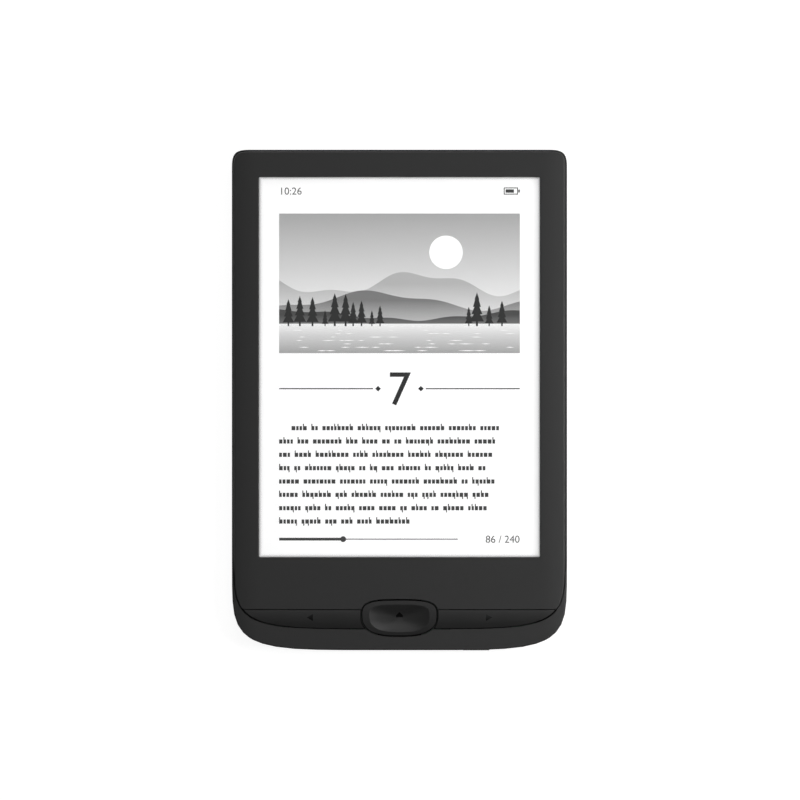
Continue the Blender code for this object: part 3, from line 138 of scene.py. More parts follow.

# Where the home key's tabs dive under the case, painted dark as seam shade: past its top row, and below
# its lowest front
HOME_TOP_ROW = -64.58 * MM
HOME_LOWEST_FRONT = 5.86 * MM

# Nodes with rounded edges, and the places of a key's materials
KEYS = ("home_key", "left_page_key", "right_page_key", "power_key")
ROUNDED = ("front_bezel", "rear_cover", *KEYS)
PLAIN_SLOT, SEAM_SLOT, DISH_SLOT = 0, 1, 2

# Page: the part of the film that the window shows, and the edges of what is printed on it
FILM_LOW, FILM_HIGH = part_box("epaper_film")
FILM_MARGIN = 2.0 * MM
PAGE_LEFT, PAGE_RIGHT = FILM_LOW.x + FILM_MARGIN, FILM_HIGH.x - FILM_MARGIN
PAGE_BOTTOM, PAGE_TOP = FILM_LOW.y + FILM_MARGIN, FILM_HIGH.y - FILM_MARGIN
PAGE_MIDDLE_Y = (PAGE_TOP + PAGE_BOTTOM) / 2
PAGE_EDGE = 6.5 * MM
TEXT_LEFT, TEXT_RIGHT = PAGE_LEFT + PAGE_EDGE, PAGE_RIGHT - PAGE_EDGE

# Ink: plates in layers, from the film up
INK_LAYER = 0.009 * MM
INK_THICKNESS = 0.006 * MM
PRINT_LAYER, READ_LAYER, KNOB_LAYER = 0, 1, 2
SKY_LAYER, SUN_LAYER, RIPPLE_LAYER, HILLS_LAYER, TREES_LAYER = 0, 1, 1, 2, 5

# Distance at which two points of a figure are one, before the figure is brought to its size
FONT_WELD = 1e-6

# Status row: a clock, and a battery whose tip spans a share of its height
STATUS_Y = 55.6 * MM
STATUS_SIZE = 2.3 * MM
CLOCK = "10:26"
BATTERY_WIDTH = 5.2 * MM
BATTERY_WALL = 0.3 * MM
BATTERY_TIP = 0.6 * MM
BATTERY_TIP_GAP = 0.1 * MM
BATTERY_TIP_LOW, BATTERY_TIP_HIGH = 0.3, 0.7
BATTERY_CHARGE = 0.72

# Chapter head
CHAPTER = "7"
CHAPTER_Y = -12.2 * MM
CHAPTER_SIZE = 10.5 * MM
RULE_GAP = 8.5 * MM
RULE_WEIGHT = 0.35 * MM
DIAMOND_GAP = 1.6 * MM
DIAMOND_HALF = 0.9 * MM

# Text: lines of words, and the blocks in place of letters, with stems in shares of the letters' height
TEXT_SEED = 7
TEXT_TOP = -19.0 * MM
TEXT_PITCH = 4.3 * MM
TEXT_LINES = 8
TEXT_INDENT = 4.0 * MM
LAST_LINE_END = 12.0 * MM
WORD_ROOM = 11.0 * MM
WORD_LETTERS = (2, 8)
WORD_GAP = 1.5 * MM
LETTER_WIDTHS = (0.75 * MM, 1.25 * MM)
LETTER_GAP = 0.3 * MM
X_HEIGHT = 1.35 * MM
STEM = 0.34 * MM
STEM_UP_CHANCE, STEM_DOWN_CHANCE = 0.24, 0.1
STEM_TOP, STEM_FOOT = 1.55, -0.5

# Foot of the page
FOOT_Y = -56.6 * MM
PAGES_READ, PAGES = 86, 240
COUNT_ROOM = 20.0 * MM
BAR_HALF = 0.15 * MM
READ_HALF = 0.45 * MM
KNOB_RADIUS = 0.95 * MM
KNOB_POINTS = 24

# Picture: heights on the page, and its tones from low to high
PICTURE_TOP = 49.5 * MM
PICTURE_BOTTOM = 4.5 * MM
SHORE = 14.0 * MM
SKY_TONES = ((0.0, 0.88), (0.5, 0.6), (1.0, 0.36))
LAKE_TONES = ((0.0, 0.34), (0.6, 0.6), (1.0, 0.84))
SUN_X, SUN_Y, SUN_RADIUS = 15.0 * MM, 37.0 * MM, 5.4 * MM
SUN_POINTS = 48

# Ranges of hills: phase, height, waves as (size, length), and tones at foot and crest
HILLS = {
    "far": (0.9, 27.0 * MM, ((3.2 * MM, 9.0 * MM), (1.1 * MM, 3.4 * MM)), (0.76, 0.42)),
    "middle": (2.3, 21.5 * MM, ((2.6 * MM, 11.0 * MM), (0.8 * MM, 4.1 * MM)), (0.48, 0.18)),
    "near": (4.4, 16.8 * MM, ((1.5 * MM, 13.0 * MM), (0.4 * MM, 3.0 * MM)), (0.14, 0.06)),
}
HILL_STEPS = 72

# Ripples on the lake, which grow from the far row to the near one
RIPPLE_SEED = 11
RIPPLE_ROWS, RIPPLES_IN_ROW = 8, 7
RIPPLE_TOP = 13.0 * MM
RIPPLE_PITCH = 1.1 * MM
RIPPLE_MARGIN = 1.0 * MM
RIPPLE_LENGTHS = (1.5 * MM, 4.0 * MM)
RIPPLE_FAR_LENGTH, RIPPLE_LENGTH_ROWS = 0.6, 6
RIPPLE_HALF = 0.09 * MM
RIPPLE_FAR_WEIGHT, RIPPLE_WEIGHT_ROWS = 0.7, 8

# Fir trees: where they stand, and a tree's form in shares of its height or width
TREE_SEED = 5
TREE_FOOT = 13.2 * MM
TREE_MARGIN = 3.0 * MM
TREE_STEPS = (2.2 * MM, 4.2 * MM)
TREE_HEIGHTS = (5.0 * MM, 11.0 * MM)
CLEARING_X, CLEARING_HALF = 8.0 * MM, 13.0 * MM
TREE_WIDTH = 0.42
TREE_TIERS = 4
TREE_TAPER = 0.6
TIER_WAIST = 0.45
TRUNK_HEIGHT = 0.14
TRUNK_HALF = 0.07

# Signs on the keys: how they follow the key's front, and their finish
SIGN_LIFT = 0.012 * MM
SIGN_DEPTH = 0.05 * MM
SIGN_STEPS = 5
SIGN_RINGS = (1.0, 0.6, 0.2)
SIGN_RAY_START = 1.0 * MM
SIGN_ROUGHNESS = 0.8
SIGN_SPECULAR = 0.02
SIGN_GRAIN = 0.1 * MM
SIGN_RELIEF = 0.002 * MM

# Page signs: their outline, and the side and the tones, from low to high, of each; the tones are painted
# shade, darker towards the foot
PAGE_SIGN_X = 28.9 * MM
PAGE_SIGN_Y = -70.1 * MM
PAGE_SIGN_LENGTH, PAGE_SIGN_WIDTH = 2.0 * MM, 2.2 * MM
PAGE_SIGNS = {
    "left_page_key": (-1, ((0.0, 0.004), (1.0, 0.018))),
    "right_page_key": (1, ((0.0, 0.006), (1.0, 0.03))),
}

# Home sign: its outline, with a painted highlight strip under its foot, and its tones
HOME_SIGN_TIP = -68.34 * MM
HOME_SIGN_SHOULDER = -69.4 * MM
HOME_SIGN_FOOT = -70.03 * MM
HOME_SIGN_HIGHLIGHT = 0.7 * MM
HOME_SIGN_WIDTH = 2.22 * MM
HOME_SIGN_TONE, HOME_HIGHLIGHT_TONE = 0.004, 0.042
HOME_HIGHLIGHT_BLUR = 0.03


# Material nodes


def new_material(name):
    material = bpy.data.materials.new(name)
    material.use_nodes = True
    tree = material.node_tree
    return material, tree, tree.nodes["Principled BSDF"]


def add_node(tree, kind, inputs=None, **settings):
    node = tree.nodes.new(kind)
    for key, value in settings.items():
        setattr(node, key, value)
    for key, value in (inputs or {}).items():
        if isinstance(value, bpy.types.NodeSocket):
            tree.links.new(value, node.inputs[key])
        else:
            node.inputs[key].default_value = value
    return node


def place_of(tree, stretch=(1.0, 1.0, 1.0)):
    """Object coordinates, stretched for brushed finishes."""
    where = add_node(tree, "ShaderNodeTexCoord")
    mapping = add_node(tree, "ShaderNodeMapping", {"Vector": where.outputs["Object"], "Scale": stretch})
    return mapping.outputs["Vector"]


def parts_of(tree, place):
    """The X, Y and Z of a place."""
    return add_node(tree, "ShaderNodeSeparateXYZ", {"Vector": place}).outputs


def noise(tree, place, size, detail=2.0):
    """Noise between 0 and 1 with spots of a real size."""
    made = add_node(tree, "ShaderNodeTexNoise", {"Vector": place, "Scale": 1.0 / size, "Detail": detail})
    return made.outputs["Fac"]


def joined(tree, operation, first, second):
    """One value from two, such as their sum or the smaller of them."""
    return add_node(tree, "ShaderNodeMath", {0: first, 1: second}, operation=operation).outputs[0]


def ramp(tree, value, stops):
    """A colour ramp through (position, grey or colour) stops."""
    made = add_node(tree, "ShaderNodeValToRGB", {"Fac": value})
    elements = made.color_ramp.elements
    while len(elements) < len(stops):
        elements.new(0.5)
    for element, (position, colour) in zip(elements, stops):
        rgb = grey(colour) if isinstance(colour, float) else colour
        element.position = position
        element.color = (*rgb, 1.0)
    return made.outputs["Color"]


def spread(tree, value, low, high):
    """A value, held between 0 and 1, spread between two others."""
    made = add_node(tree, "ShaderNodeMapRange", {"Value": value, "To Min": low, "To Max": high})
    return made.outputs["Result"]


def share_of(tree, value, start, end):
    """How far a value has come from a start to an end, held between 0 and 1."""
    made = add_node(tree, "ShaderNodeMapRange", {"Value": value, "From Min": start, "From Max": end})
    return made.outputs["Result"]


def bump(tree, shader, height, depth):
    """Relief of a real depth under the shader."""
    made = add_node(tree, "ShaderNodeBump", {"Height": height, "Distance": depth})
    tree.links.new(made.outputs["Normal"], shader.inputs["Normal"])


def grey(tone):
    return tone, tone, tone


def shaded(colour, by):
    return tuple(min(1.0, c * by) for c in colour)


# Finishes


def finish(
    name, colour, roughness, metallic=0.0, grain=0.3 * MM, relief=0.004 * MM, vary=0.08,
    stretch=(1.0, 1.0, 1.0), specular=0.5,
):
    """A solid finish: fine grain in relief, with slow drifts of colour and gloss over it."""
    material, tree, shader = new_material(name)
    place = place_of(tree, stretch)
    drift = noise(tree, place, DRIFT_SIZE, DRIFT_DETAIL)
    fine = noise(tree, place, grain)
    mixed = spread(tree, joined(tree, "ADD", drift, fine), *TONE_RANGE)
    tone = ramp(tree, mixed, ((0.0, shaded(colour, 1 - vary)), (1.0, shaded(colour, 1 + vary))))
    tree.links.new(tone, shader.inputs["Base Color"])
    gloss = spread(tree, drift, roughness - GLOSS_DRIFT, roughness + GLOSS_DRIFT)
    tree.links.new(gloss, shader.inputs["Roughness"])
    shader.inputs["Metallic"].default_value = metallic
    shader.inputs["Specular IOR Level"].default_value = specular
    bump(tree, shader, fine, relief)
    return material


def clear_finish(name, colour, roughness, alpha, grain):
    """A clear layer: it mirrors a little, and what lies under it shows through."""
    material, tree, shader = new_material(name)
    fine = noise(tree, place_of(tree), grain)
    tone = ramp(tree, fine, ((NOISE_DARK, shaded(colour, CLEAR_SHADE)), (NOISE_LIGHT, colour)))
    tree.links.new(tone, shader.inputs["Base Color"])
    gloss = spread(tree, fine, roughness - CLEAR_GLOSS_DRIFT, roughness + CLEAR_GLOSS_DRIFT)
    tree.links.new(gloss, shader.inputs["Roughness"])
    shader.inputs["Alpha"].default_value = alpha
    bump(tree, shader, fine, CLEAR_RELIEF)
    material.surface_render_method = "BLENDED"
    return material


def e_paper(name, stops, along=None):
    """Electronic paper under its front light, painted as a glow in the paper's own tone, in shares of
    its white, even or along an axis.
    """
    material, tree, shader = new_material(name)
    place = place_of(tree)
    share = speck = noise(tree, place, SPECK_SIZE)
    if along:
        axis, start, end = along
        way = share_of(tree, parts_of(tree, place)[axis], start, end)
        share = joined(tree, "ADD", way, spread(tree, speck, -SPECK_BLUR, SPECK_BLUR))
    tone = ramp(tree, share, [(position, part * PAPER_WHITE) for position, part in stops])
    tree.links.new(tone, shader.inputs["Base Color"])
    # Painted light: the front light is a glow of the paper and of its inks
    tree.links.new(tone, shader.inputs["Emission Color"])
    shader.inputs["Emission Strength"].default_value = PAGE_GLOW
    shader.inputs["Roughness"].default_value = PAPER_ROUGHNESS
    shader.inputs["Specular IOR Level"].default_value = PAPER_SPECULAR
    bump(tree, shader, speck, PAPER_RELIEF)
    return material


def even_tone(tone):
    """One tone of electronic paper, with its specks."""
    return (SPECK_DARK, tone * SPECK_SHADE), (SPECK_LIGHT, tone)


def page_paper(name):
    """Blank electronic paper, its glow dimmed in painted shade near the window's edge."""
    material = e_paper(name, even_tone(1.0))
    tree = material.node_tree
    parts = parts_of(tree, place_of(tree))
    left, right, bottom, top = (
        share_of(tree, parts[axis], edge, edge + reach)
        for axis, edge, reach in (
            ("X", PAGE_LEFT, SHADE_LEFT),
            ("X", PAGE_RIGHT, -SHADE_RIGHT),
            ("Y", PAGE_BOTTOM, SHADE_BOTTOM),
            ("Y", PAGE_TOP, -SHADE_TOP),
        )
    )
    nearest = left
    for share in (right, bottom, top):
        nearest = joined(tree, "MINIMUM", nearest, share)
    # Painted shade: the paper's glow is dimmed near the window's edges
    glow = joined(tree, "MULTIPLY", ramp(tree, nearest, EDGE_SHADE), PAGE_GLOW)
    tree.links.new(glow, tree.nodes["Principled BSDF"].inputs["Emission Strength"])
    return material


SOLID_LOOKS = {
    "case_plastic": dict(
        colour=grey(0.022), roughness=0.5, grain=0.22 * MM, relief=0.006 * MM, specular=0.3
    ),
    "key_plastic": dict(
        colour=grey(0.021), roughness=0.46, grain=0.16 * MM, relief=0.003 * MM, specular=0.35
    ),
    # Painted shade: near-black for the keys' rounded edges and the home key's tabs, where the seam's
    # shadow falls
    "seam_shade": dict(
        colour=grey(0.004), roughness=0.9, grain=0.1 * MM, relief=0.002 * MM, specular=0.02
    ),
    "home_plastic": dict(
        colour=grey(0.0205), roughness=0.5, grain=0.16 * MM, relief=0.003 * MM, specular=0.3
    ),
    # The dish: glossier, and darker in colour than the rim as painted shade of its hollow
    "dish_gloss_and_painted_shade": dict(
        colour=grey(0.0125), roughness=0.42, grain=0.16 * MM, relief=0.002 * MM, specular=0.56
    ),
    "display_glass": dict(
        colour=(0.25, 0.28, 0.3), roughness=0.2, grain=1.5 * MM, relief=0.001 * MM
    ),
    "foam": dict(colour=grey(0.02), roughness=0.9, grain=0.35 * MM, relief=0.06 * MM, vary=0.3),
    "flex": dict(
        colour=(0.5, 0.22, 0.035), roughness=0.35, grain=0.5 * MM, stretch=(6.0, 0.4, 1.0), vary=0.2
    ),
    "chassis_metal": dict(
        colour=(0.6, 0.6, 0.62), roughness=0.38, metallic=1.0, grain=0.25 * MM, stretch=(1.0, 0.04, 1.0)
    ),
    "steel": dict(
        colour=(0.55, 0.55, 0.57), roughness=0.3, metallic=1.0, grain=0.2 * MM, relief=0.002 * MM
    ),
    "board": dict(
        colour=(0.004, 0.02, 0.011), roughness=0.4, grain=0.6 * MM, relief=0.01 * MM, vary=0.25
    ),
    "chip": dict(
        colour=(0.018, 0.018, 0.02), roughness=0.5, grain=0.12 * MM, relief=0.006 * MM, vary=0.2
    ),
    "cream_plastic": dict(colour=(0.72, 0.69, 0.6), roughness=0.45, grain=0.2 * MM),
    "cell_foil": dict(
        colour=(0.5, 0.51, 0.53), roughness=0.35, metallic=0.9, grain=0.8 * MM, relief=0.02 * MM
    ),
    "red_cover": dict(colour=(0.45, 0.015, 0.015), roughness=0.45),
    "black_cover": dict(colour=grey(0.015), roughness=0.45),
}
CLEAR_LOOKS = {
    "touch_glass": dict(colour=(0.25, 0.26, 0.26), roughness=0.35, alpha=0.02, grain=0.15 * MM),
    "clear_plastic": dict(colour=(0.3, 0.31, 0.31), roughness=0.2, alpha=0.01, grain=0.4 * MM),
    "light_pipe": dict(colour=(0.9, 0.92, 0.93), roughness=0.25, alpha=0.6, grain=0.2 * MM),
}
PAPER = page_paper("e_paper")
INK_BLACK = e_paper("ink_black", even_tone(0.02))
INK_TEXT = e_paper("ink_text", even_tone(0.045))
FINISHES = {
    **{name: finish(name, **look) for name, look in SOLID_LOOKS.items()},
    **{name: clear_finish(name, **look) for name, look in CLEAR_LOOKS.items()},
    "e_paper": PAPER,
}


# Nodes of the solids


def round_edges(name):
    """Round a moulded node's sharp edges; a key's rounded edges get the seam shade, painted dark where
    the gap's shadow falls.
    """
    flat = NODES[name].modifiers.new("flat_faces", "DECIMATE")
    flat.decimate_type = "DISSOLVE"
    flat.angle_limit = FLAT_ANGLE
    edge = NODES[name].modifiers.new("round_edges", "BEVEL")
    edge.width = HOME_EDGE_ROUND if name == "home_key" else EDGE_ROUND
    edge.segments = EDGE_SEGMENTS
    edge.use_clamp_overlap = name not in KEYS
    edge.limit_method = "ANGLE"
    edge.angle_limit = SHARP_ANGLE
    edge.material = SEAM_SLOT if name in KEYS else PLAIN_SLOT


def dress(name, finishes):
    """Give a node its finishes, shade its curves smooth and round its edges where it is moulded."""
    obj = NODES[name]
    mesh = obj.data
    mesh.materials.clear()
    for finish_name in finishes:
        mesh.materials.append(FINISHES[finish_name])
    mesh.attributes.remove(mesh.attributes["custom_normal"])
    mesh.shade_smooth()
    weld = obj.modifiers.new("weld", "WELD")
    weld.merge_threshold = WELD_DISTANCE
    if name in ROUNDED:
        round_edges(name)
    split = obj.modifiers.new("sharp_edges", "EDGE_SPLIT")
    split.split_angle = DISH_RIM_ANGLE if name == "home_key" else SHARP_ANGLE
    split.use_edge_sharp = False
    obj.modifiers.new("flat_stays_flat", "WEIGHTED_NORMAL")


def in_dish(place):
    """Whether a place on the home key's front lies inside the outline of its dish."""
    rise = place.y - DISH_WIDEST_Y
    reach, power = DISH_UP if rise > 0 else DISH_DOWN
    return abs(place.x / DISH_HALF_WIDTH) ** power + abs(rise / reach) ** power < 1


def mark_home_key():
    """Give the dish its glossier finish with painted shade, and paint the tabs that dive under the case
    dark as seam shade.
    """
    for face in NODES["home_key"].data.polygons:
        # Painted shade: faces past the top row or below the lowest front are dark like the gap's shadow
        if face.center.y > HOME_TOP_ROW or face.center.z < HOME_LOWEST_FRONT:
            face.material_index = SEAM_SLOT
        # Painted shade: the dish is darker in colour than the rim
        elif in_dish(face.center):
            face.material_index = DISH_SLOT


def dress_all():
    """Dress each node by its slot in the record, apart from the keys and the status light."""
    finishes = {row["node"]: (row["material_slot"],) for row in frame["record"]["subparts"]}
    for key in KEYS:
        finishes[key] = ("key_plastic", "seam_shade")
    finishes["home_key"] = ("home_plastic", "seam_shade", "dish_gloss_and_painted_shade")
    finishes["status_light_pipe"] = ("light_pipe",)
    for name in NODES:
        dress(name, finishes[name])
    mark_home_key()


# Meshes of the page and of the signs


def mesh_piece(name, work, material, body):
    """A bmesh as a piece that rides on a body."""
    bmesh.ops.recalc_face_normals(work, faces=work.faces)
    mesh = bpy.data.meshes.new(name)
    work.to_mesh(mesh)
    work.free()
    mesh.materials.append(material)
    obj = bpy.data.objects.new(name, mesh)
    bpy.context.scene.collection.objects.link(obj)
    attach(obj, body)


def page_piece(name, work, material):
    """A piece of the page, which rides on the case."""
    mesh_piece(name, work, material, "case")


def ink_level(layer):
    """The foot of a layer of ink."""
    return FILM_HIGH.z + INK_LAYER * (layer + 0.5)


def ink_rings(work, points, layer):
    """An outline at the foot and at the top of a plate of ink."""
    low = ink_level(layer)
    return [[work.verts.new((x, y, z)) for x, y in points] for z in (low, low + INK_THICKNESS)]


def band(work, outer, inner):
    """Quads between two rings of points."""
    for i in range(len(outer)):
        j = (i + 1) % len(outer)
        work.faces.new((outer[i], outer[j], inner[j], inner[i]))


def add_plate(work, points, layer=PRINT_LAYER):
    """A thin plate of ink with a flat outline."""
    lower, upper = ink_rings(work, points, layer)
    work.faces.new(lower)
    work.faces.new(upper)
    band(work, lower, upper)


def add_frame(work, outer, inner, layer=PRINT_LAYER):
    """A thin plate of ink with an opening, from two outlines that have as many points."""
    outer_low, outer_top = ink_rings(work, outer, layer)
    inner_low, inner_top = ink_rings(work, inner, layer)
    for rings in (
        (outer_low, inner_low), (outer_top, inner_top), (outer_low, outer_top), (inner_low, inner_top)
    ):
        band(work, *rings)


def box_points(x0, y0, x1, y1):
    return [(x0, y0), (x1, y0), (x1, y1), (x0, y1)]


def circle_points(x, y, radius, count):
    turns = [2 * math.pi * i / count for i in range(count)]
    return [(x + radius * math.cos(a), y + radius * math.sin(a)) for a in turns]


def diamond_points(x, y, half):
    return [(x - half, y), (x, y - half), (x + half, y), (x, y + half)]


def text_mesh(name, text, align):
    """The mesh of a flat text, as thick as ink and of the font's own size."""
    curve = bpy.data.curves.new(name, "FONT")
    curve.body = text
    curve.align_x = align
    curve.extrude = INK_THICKNESS / 2
    shape = bpy.data.objects.new(name, curve)
    bpy.context.scene.collection.objects.link(shape)
    graph = bpy.context.evaluated_depsgraph_get()
    mesh = bpy.data.meshes.new_from_object(shape.evaluated_get(graph))
    bpy.data.objects.remove(shape)
    bpy.data.curves.remove(curve)
    return mesh


def numerals(name, text, size, x, y, align, material):
    """Plain numerals, with y at the foot of the figures and size as their height."""
    mesh = text_mesh(name, text, align)
    work = bmesh.new()
    work.from_mesh(mesh)
    bpy.data.meshes.remove(mesh)
    bmesh.ops.remove_doubles(work, verts=work.verts, dist=FONT_WELD)
    grow = size / max(vert.co.y for vert in work.verts)
    middle = ink_level(PRINT_LAYER) + INK_THICKNESS / 2
    for vert in work.verts:
        vert.co = (x + vert.co.x * grow, y + vert.co.y * grow, middle + vert.co.z)
    page_piece(name, work, material)


# Page


def page_y(v):
    """A height on the page, measured from the middle of the window."""
    return PAGE_MIDDLE_Y + v


def battery_sign(y):
    """A battery, partly charged, at the right."""
    work = bmesh.new()
    x0, x1 = TEXT_RIGHT - BATTERY_WIDTH, TEXT_RIGHT - BATTERY_TIP
    top, wall = y + STATUS_SIZE, BATTERY_WALL
    hollow = box_points(x0 + wall, y + wall, x1 - wall, top - wall)
    add_frame(work, box_points(x0, y, x1, top), hollow)
    full = x0 + (x1 - x0) * BATTERY_CHARGE
    add_plate(work, box_points(x0 + 2 * wall, y + 2 * wall, full, top - 2 * wall))
    tip_low, tip_high = y + STATUS_SIZE * BATTERY_TIP_LOW, y + STATUS_SIZE * BATTERY_TIP_HIGH
    add_plate(work, box_points(x1 + BATTERY_TIP_GAP, tip_low, TEXT_RIGHT, tip_high))
    page_piece("page_battery_sign", work, INK_TEXT)


def status_row():
    """Clock figures at the left and a battery sign at the right."""
    y = page_y(STATUS_Y)
    numerals("page_clock", CLOCK, STATUS_SIZE, TEXT_LEFT, y, "LEFT", INK_TEXT)
    battery_sign(y)


def chapter_head():
    """A large chapter figure between two fine rules with diamonds."""
    y = page_y(CHAPTER_Y)
    numerals("page_chapter", CHAPTER, CHAPTER_SIZE, 0.0, y, "CENTER", INK_BLACK)
    middle = y + CHAPTER_SIZE / 2
    work = bmesh.new()
    for side in (-1, 1):
        x0, x1 = sorted((side * RULE_GAP, side * TEXT_RIGHT))
        add_plate(work, box_points(x0, middle - RULE_WEIGHT / 2, x1, middle + RULE_WEIGHT / 2))
        add_plate(work, diamond_points(side * (RULE_GAP - DIAMOND_GAP), middle, DIAMOND_HALF))
    page_piece("page_rules", work, INK_BLACK)


def letter_points(x, y, width, chance):
    """A block in place of a letter, by chance with a stem up at its left or down at its right."""
    right, top = x + width, y + X_HEIGHT
    if chance < STEM_UP_CHANCE:
        tip = y + STEM_TOP * X_HEIGHT
        return [(x, y), (right, y), (right, top), (x + STEM, top), (x + STEM, tip), (x, tip)]
    if chance < STEM_UP_CHANCE + STEM_DOWN_CHANCE:
        inner, foot = right - STEM, y + STEM_FOOT * X_HEIGHT
        return [(x, y), (inner, y), (inner, foot), (right, foot), (right, top), (x, top)]
    return box_points(x, y, right, top)


def add_word(work, rng, x, y, count):
    """Letter-sized blocks in a row. Returns where the word ends."""
    for _ in range(count):
        width = rng.uniform(*LETTER_WIDTHS)
        add_plate(work, letter_points(x, y, width, rng.random()))
        x += width + LETTER_GAP
    return x - LETTER_GAP


def text_block():
    """Lines of blocks in place of letters, ragged at the right."""
    rng = random.Random(TEXT_SEED)
    work = bmesh.new()
    for line in range(TEXT_LINES):
        y = page_y(TEXT_TOP - line * TEXT_PITCH) - X_HEIGHT
        x = TEXT_LEFT + (TEXT_INDENT if line == 0 else 0.0)
        end = TEXT_RIGHT if line < TEXT_LINES - 1 else LAST_LINE_END
        while x + WORD_ROOM < end:
            x = add_word(work, rng, x, y, rng.randint(*WORD_LETTERS)) + WORD_GAP
    page_piece("page_text", work, INK_TEXT)


def page_foot():
    """A reading bar and the page count."""
    y = page_y(FOOT_Y)
    count = f"{PAGES_READ} / {PAGES}"
    numerals("page_count", count, STATUS_SIZE, TEXT_RIGHT, y, "RIGHT", INK_TEXT)
    work = bmesh.new()
    x0, x1 = TEXT_LEFT, TEXT_RIGHT - COUNT_ROOM
    read = x0 + (x1 - x0) * PAGES_READ / PAGES
    bar = y + STATUS_SIZE / 2
    add_plate(work, box_points(x0, bar - BAR_HALF, x1, bar + BAR_HALF))
    add_plate(work, box_points(x0, bar - READ_HALF, read, bar + READ_HALF), READ_LAYER)
    add_plate(work, circle_points(read, bar, KNOB_RADIUS, KNOB_POINTS), KNOB_LAYER)
    page_piece("page_progress", work, INK_TEXT)


# Picture on the page: sun, three ranges of hills, a lake and fir trees


def picture_plate(name, points, material, layer):
    work = bmesh.new()
    add_plate(work, points, layer)
    page_piece(name, work, material)


def hill_points(foot, phase, height, waves):
    """A range of hills from its foot up to a crest that a few waves make."""
    crest = []
    for i in reversed(range(HILL_STEPS + 1)):
        x = TEXT_LEFT + (TEXT_RIGHT - TEXT_LEFT) * i / HILL_STEPS
        swell = sum(size * math.sin(x / length + phase * n) for n, (size, length) in enumerate(waves, 1))
        crest.append((x, page_y(height + swell)))
    return [(TEXT_LEFT, foot), (TEXT_RIGHT, foot)] + crest


def hills(shore):
    """Ranges one before the other, each paler towards its foot."""
    for layer, (name, look) in enumerate(HILLS.items(), HILLS_LAYER):
        phase, height, waves, (foot_tone, crest_tone) = look
        stops = ((0.0, foot_tone), (1.0, crest_tone))
        tone = e_paper(f"ink_hills_{name}", stops, ("Y", shore, page_y(height)))
        picture_plate(f"picture_hills_{name}", hill_points(shore, phase, height, waves), tone, layer)


def ripples():
    """Short pale strokes on the lake, longer towards the viewer."""
    rng = random.Random(RIPPLE_SEED)
    work = bmesh.new()
    for row in range(RIPPLE_ROWS):
        y = page_y(RIPPLE_TOP - row * RIPPLE_PITCH)
        half = RIPPLE_HALF * (RIPPLE_FAR_WEIGHT + row / RIPPLE_WEIGHT_ROWS)
        for _ in range(RIPPLES_IN_ROW):
            length = rng.uniform(*RIPPLE_LENGTHS) * (RIPPLE_FAR_LENGTH + row / RIPPLE_LENGTH_ROWS)
            x = rng.uniform(TEXT_LEFT + RIPPLE_MARGIN, TEXT_RIGHT - RIPPLE_MARGIN - length)
            middle = x + length / 2
            points = [(x, y), (middle, y - half), (x + length, y), (middle, y + half)]
            add_plate(work, points, RIPPLE_LAYER)
    page_piece("picture_ripples", work, PAPER)


def tree_points(x, y, height, width):
    """A fir tree: tiers that narrow to the top."""
    tier = (1 - TRUNK_HEIGHT) / TREE_TIERS
    trunk = width * TRUNK_HALF
    half = [(x + trunk, y), (x + trunk, y + height * TRUNK_HEIGHT)]
    for i in range(TREE_TIERS):
        base = y + height * (TRUNK_HEIGHT + i * tier)
        reach = width / 2 * (1 - i / (TREE_TIERS + TREE_TAPER))
        half += [(x + reach, base), (x + reach * TIER_WAIST, base + height * tier)]
    half[-1] = (x, y + height)
    return half + [(2 * x - u, v) for u, v in reversed(half[:-1])]


def trees():
    """Firs on the near shore, on both sides of a clearing."""
    rng = random.Random(TREE_SEED)
    work = bmesh.new()
    x = TEXT_LEFT + TREE_MARGIN
    while x < TEXT_RIGHT - TREE_MARGIN:
        if abs(x - CLEARING_X) > CLEARING_HALF:
            height = rng.uniform(*TREE_HEIGHTS)
            add_plate(work, tree_points(x, page_y(TREE_FOOT), height, height * TREE_WIDTH), TREES_LAYER)
        x += rng.uniform(*TREE_STEPS)
    page_piece("picture_trees", work, INK_BLACK)


def picture():
    """Sky, sun and hills above a lake with ripples, and trees on its shore."""
    top, shore, bottom = page_y(PICTURE_TOP), page_y(SHORE), page_y(PICTURE_BOTTOM)
    sky = e_paper("ink_sky", SKY_TONES, ("Y", shore, top))
    picture_plate("picture_sky", box_points(TEXT_LEFT, shore, TEXT_RIGHT, top), sky, SKY_LAYER)
    sun = circle_points(SUN_X, page_y(SUN_Y), SUN_RADIUS, SUN_POINTS)
    picture_plate("picture_sun", sun, PAPER, SUN_LAYER)
    hills(shore)
    lake = e_paper("ink_lake", LAKE_TONES, ("Y", bottom, shore))
    picture_plate("picture_lake", box_points(TEXT_LEFT, bottom, TEXT_RIGHT, shore), lake, SKY_LAYER)
    ripples()
    trees()


# Signs on the keys


def surface_of(name):
    """A function that gives the height of a node's front at a place."""
    work = bmesh.new()
    work.from_mesh(NODES[name].data)
    tree = BVHTree.FromBMesh(work)
    work.free()
    above = CAD_BOX[1].z + SIGN_RAY_START

    def height(x, y):
        return tree.ray_cast(Vector((x, y, above)), Vector((0, 0, -1)))[0].z

    return height


def sign_ink_painted_light(name, low, high, stops):
    """Ink for a sign, with painted shade and highlight as in an engraving: its tone follows the height
    on the key.
    """
    material, tree, shader = new_material(name)
    place = place_of(tree)
    share = share_of(tree, parts_of(tree, place)["Y"], low, high)
    tree.links.new(ramp(tree, share, stops), shader.inputs["Base Color"])
    shader.inputs["Roughness"].default_value = SIGN_ROUGHNESS
    shader.inputs["Specular IOR Level"].default_value = SIGN_SPECULAR
    bump(tree, shader, noise(tree, place, SIGN_GRAIN), SIGN_RELIEF)
    return material


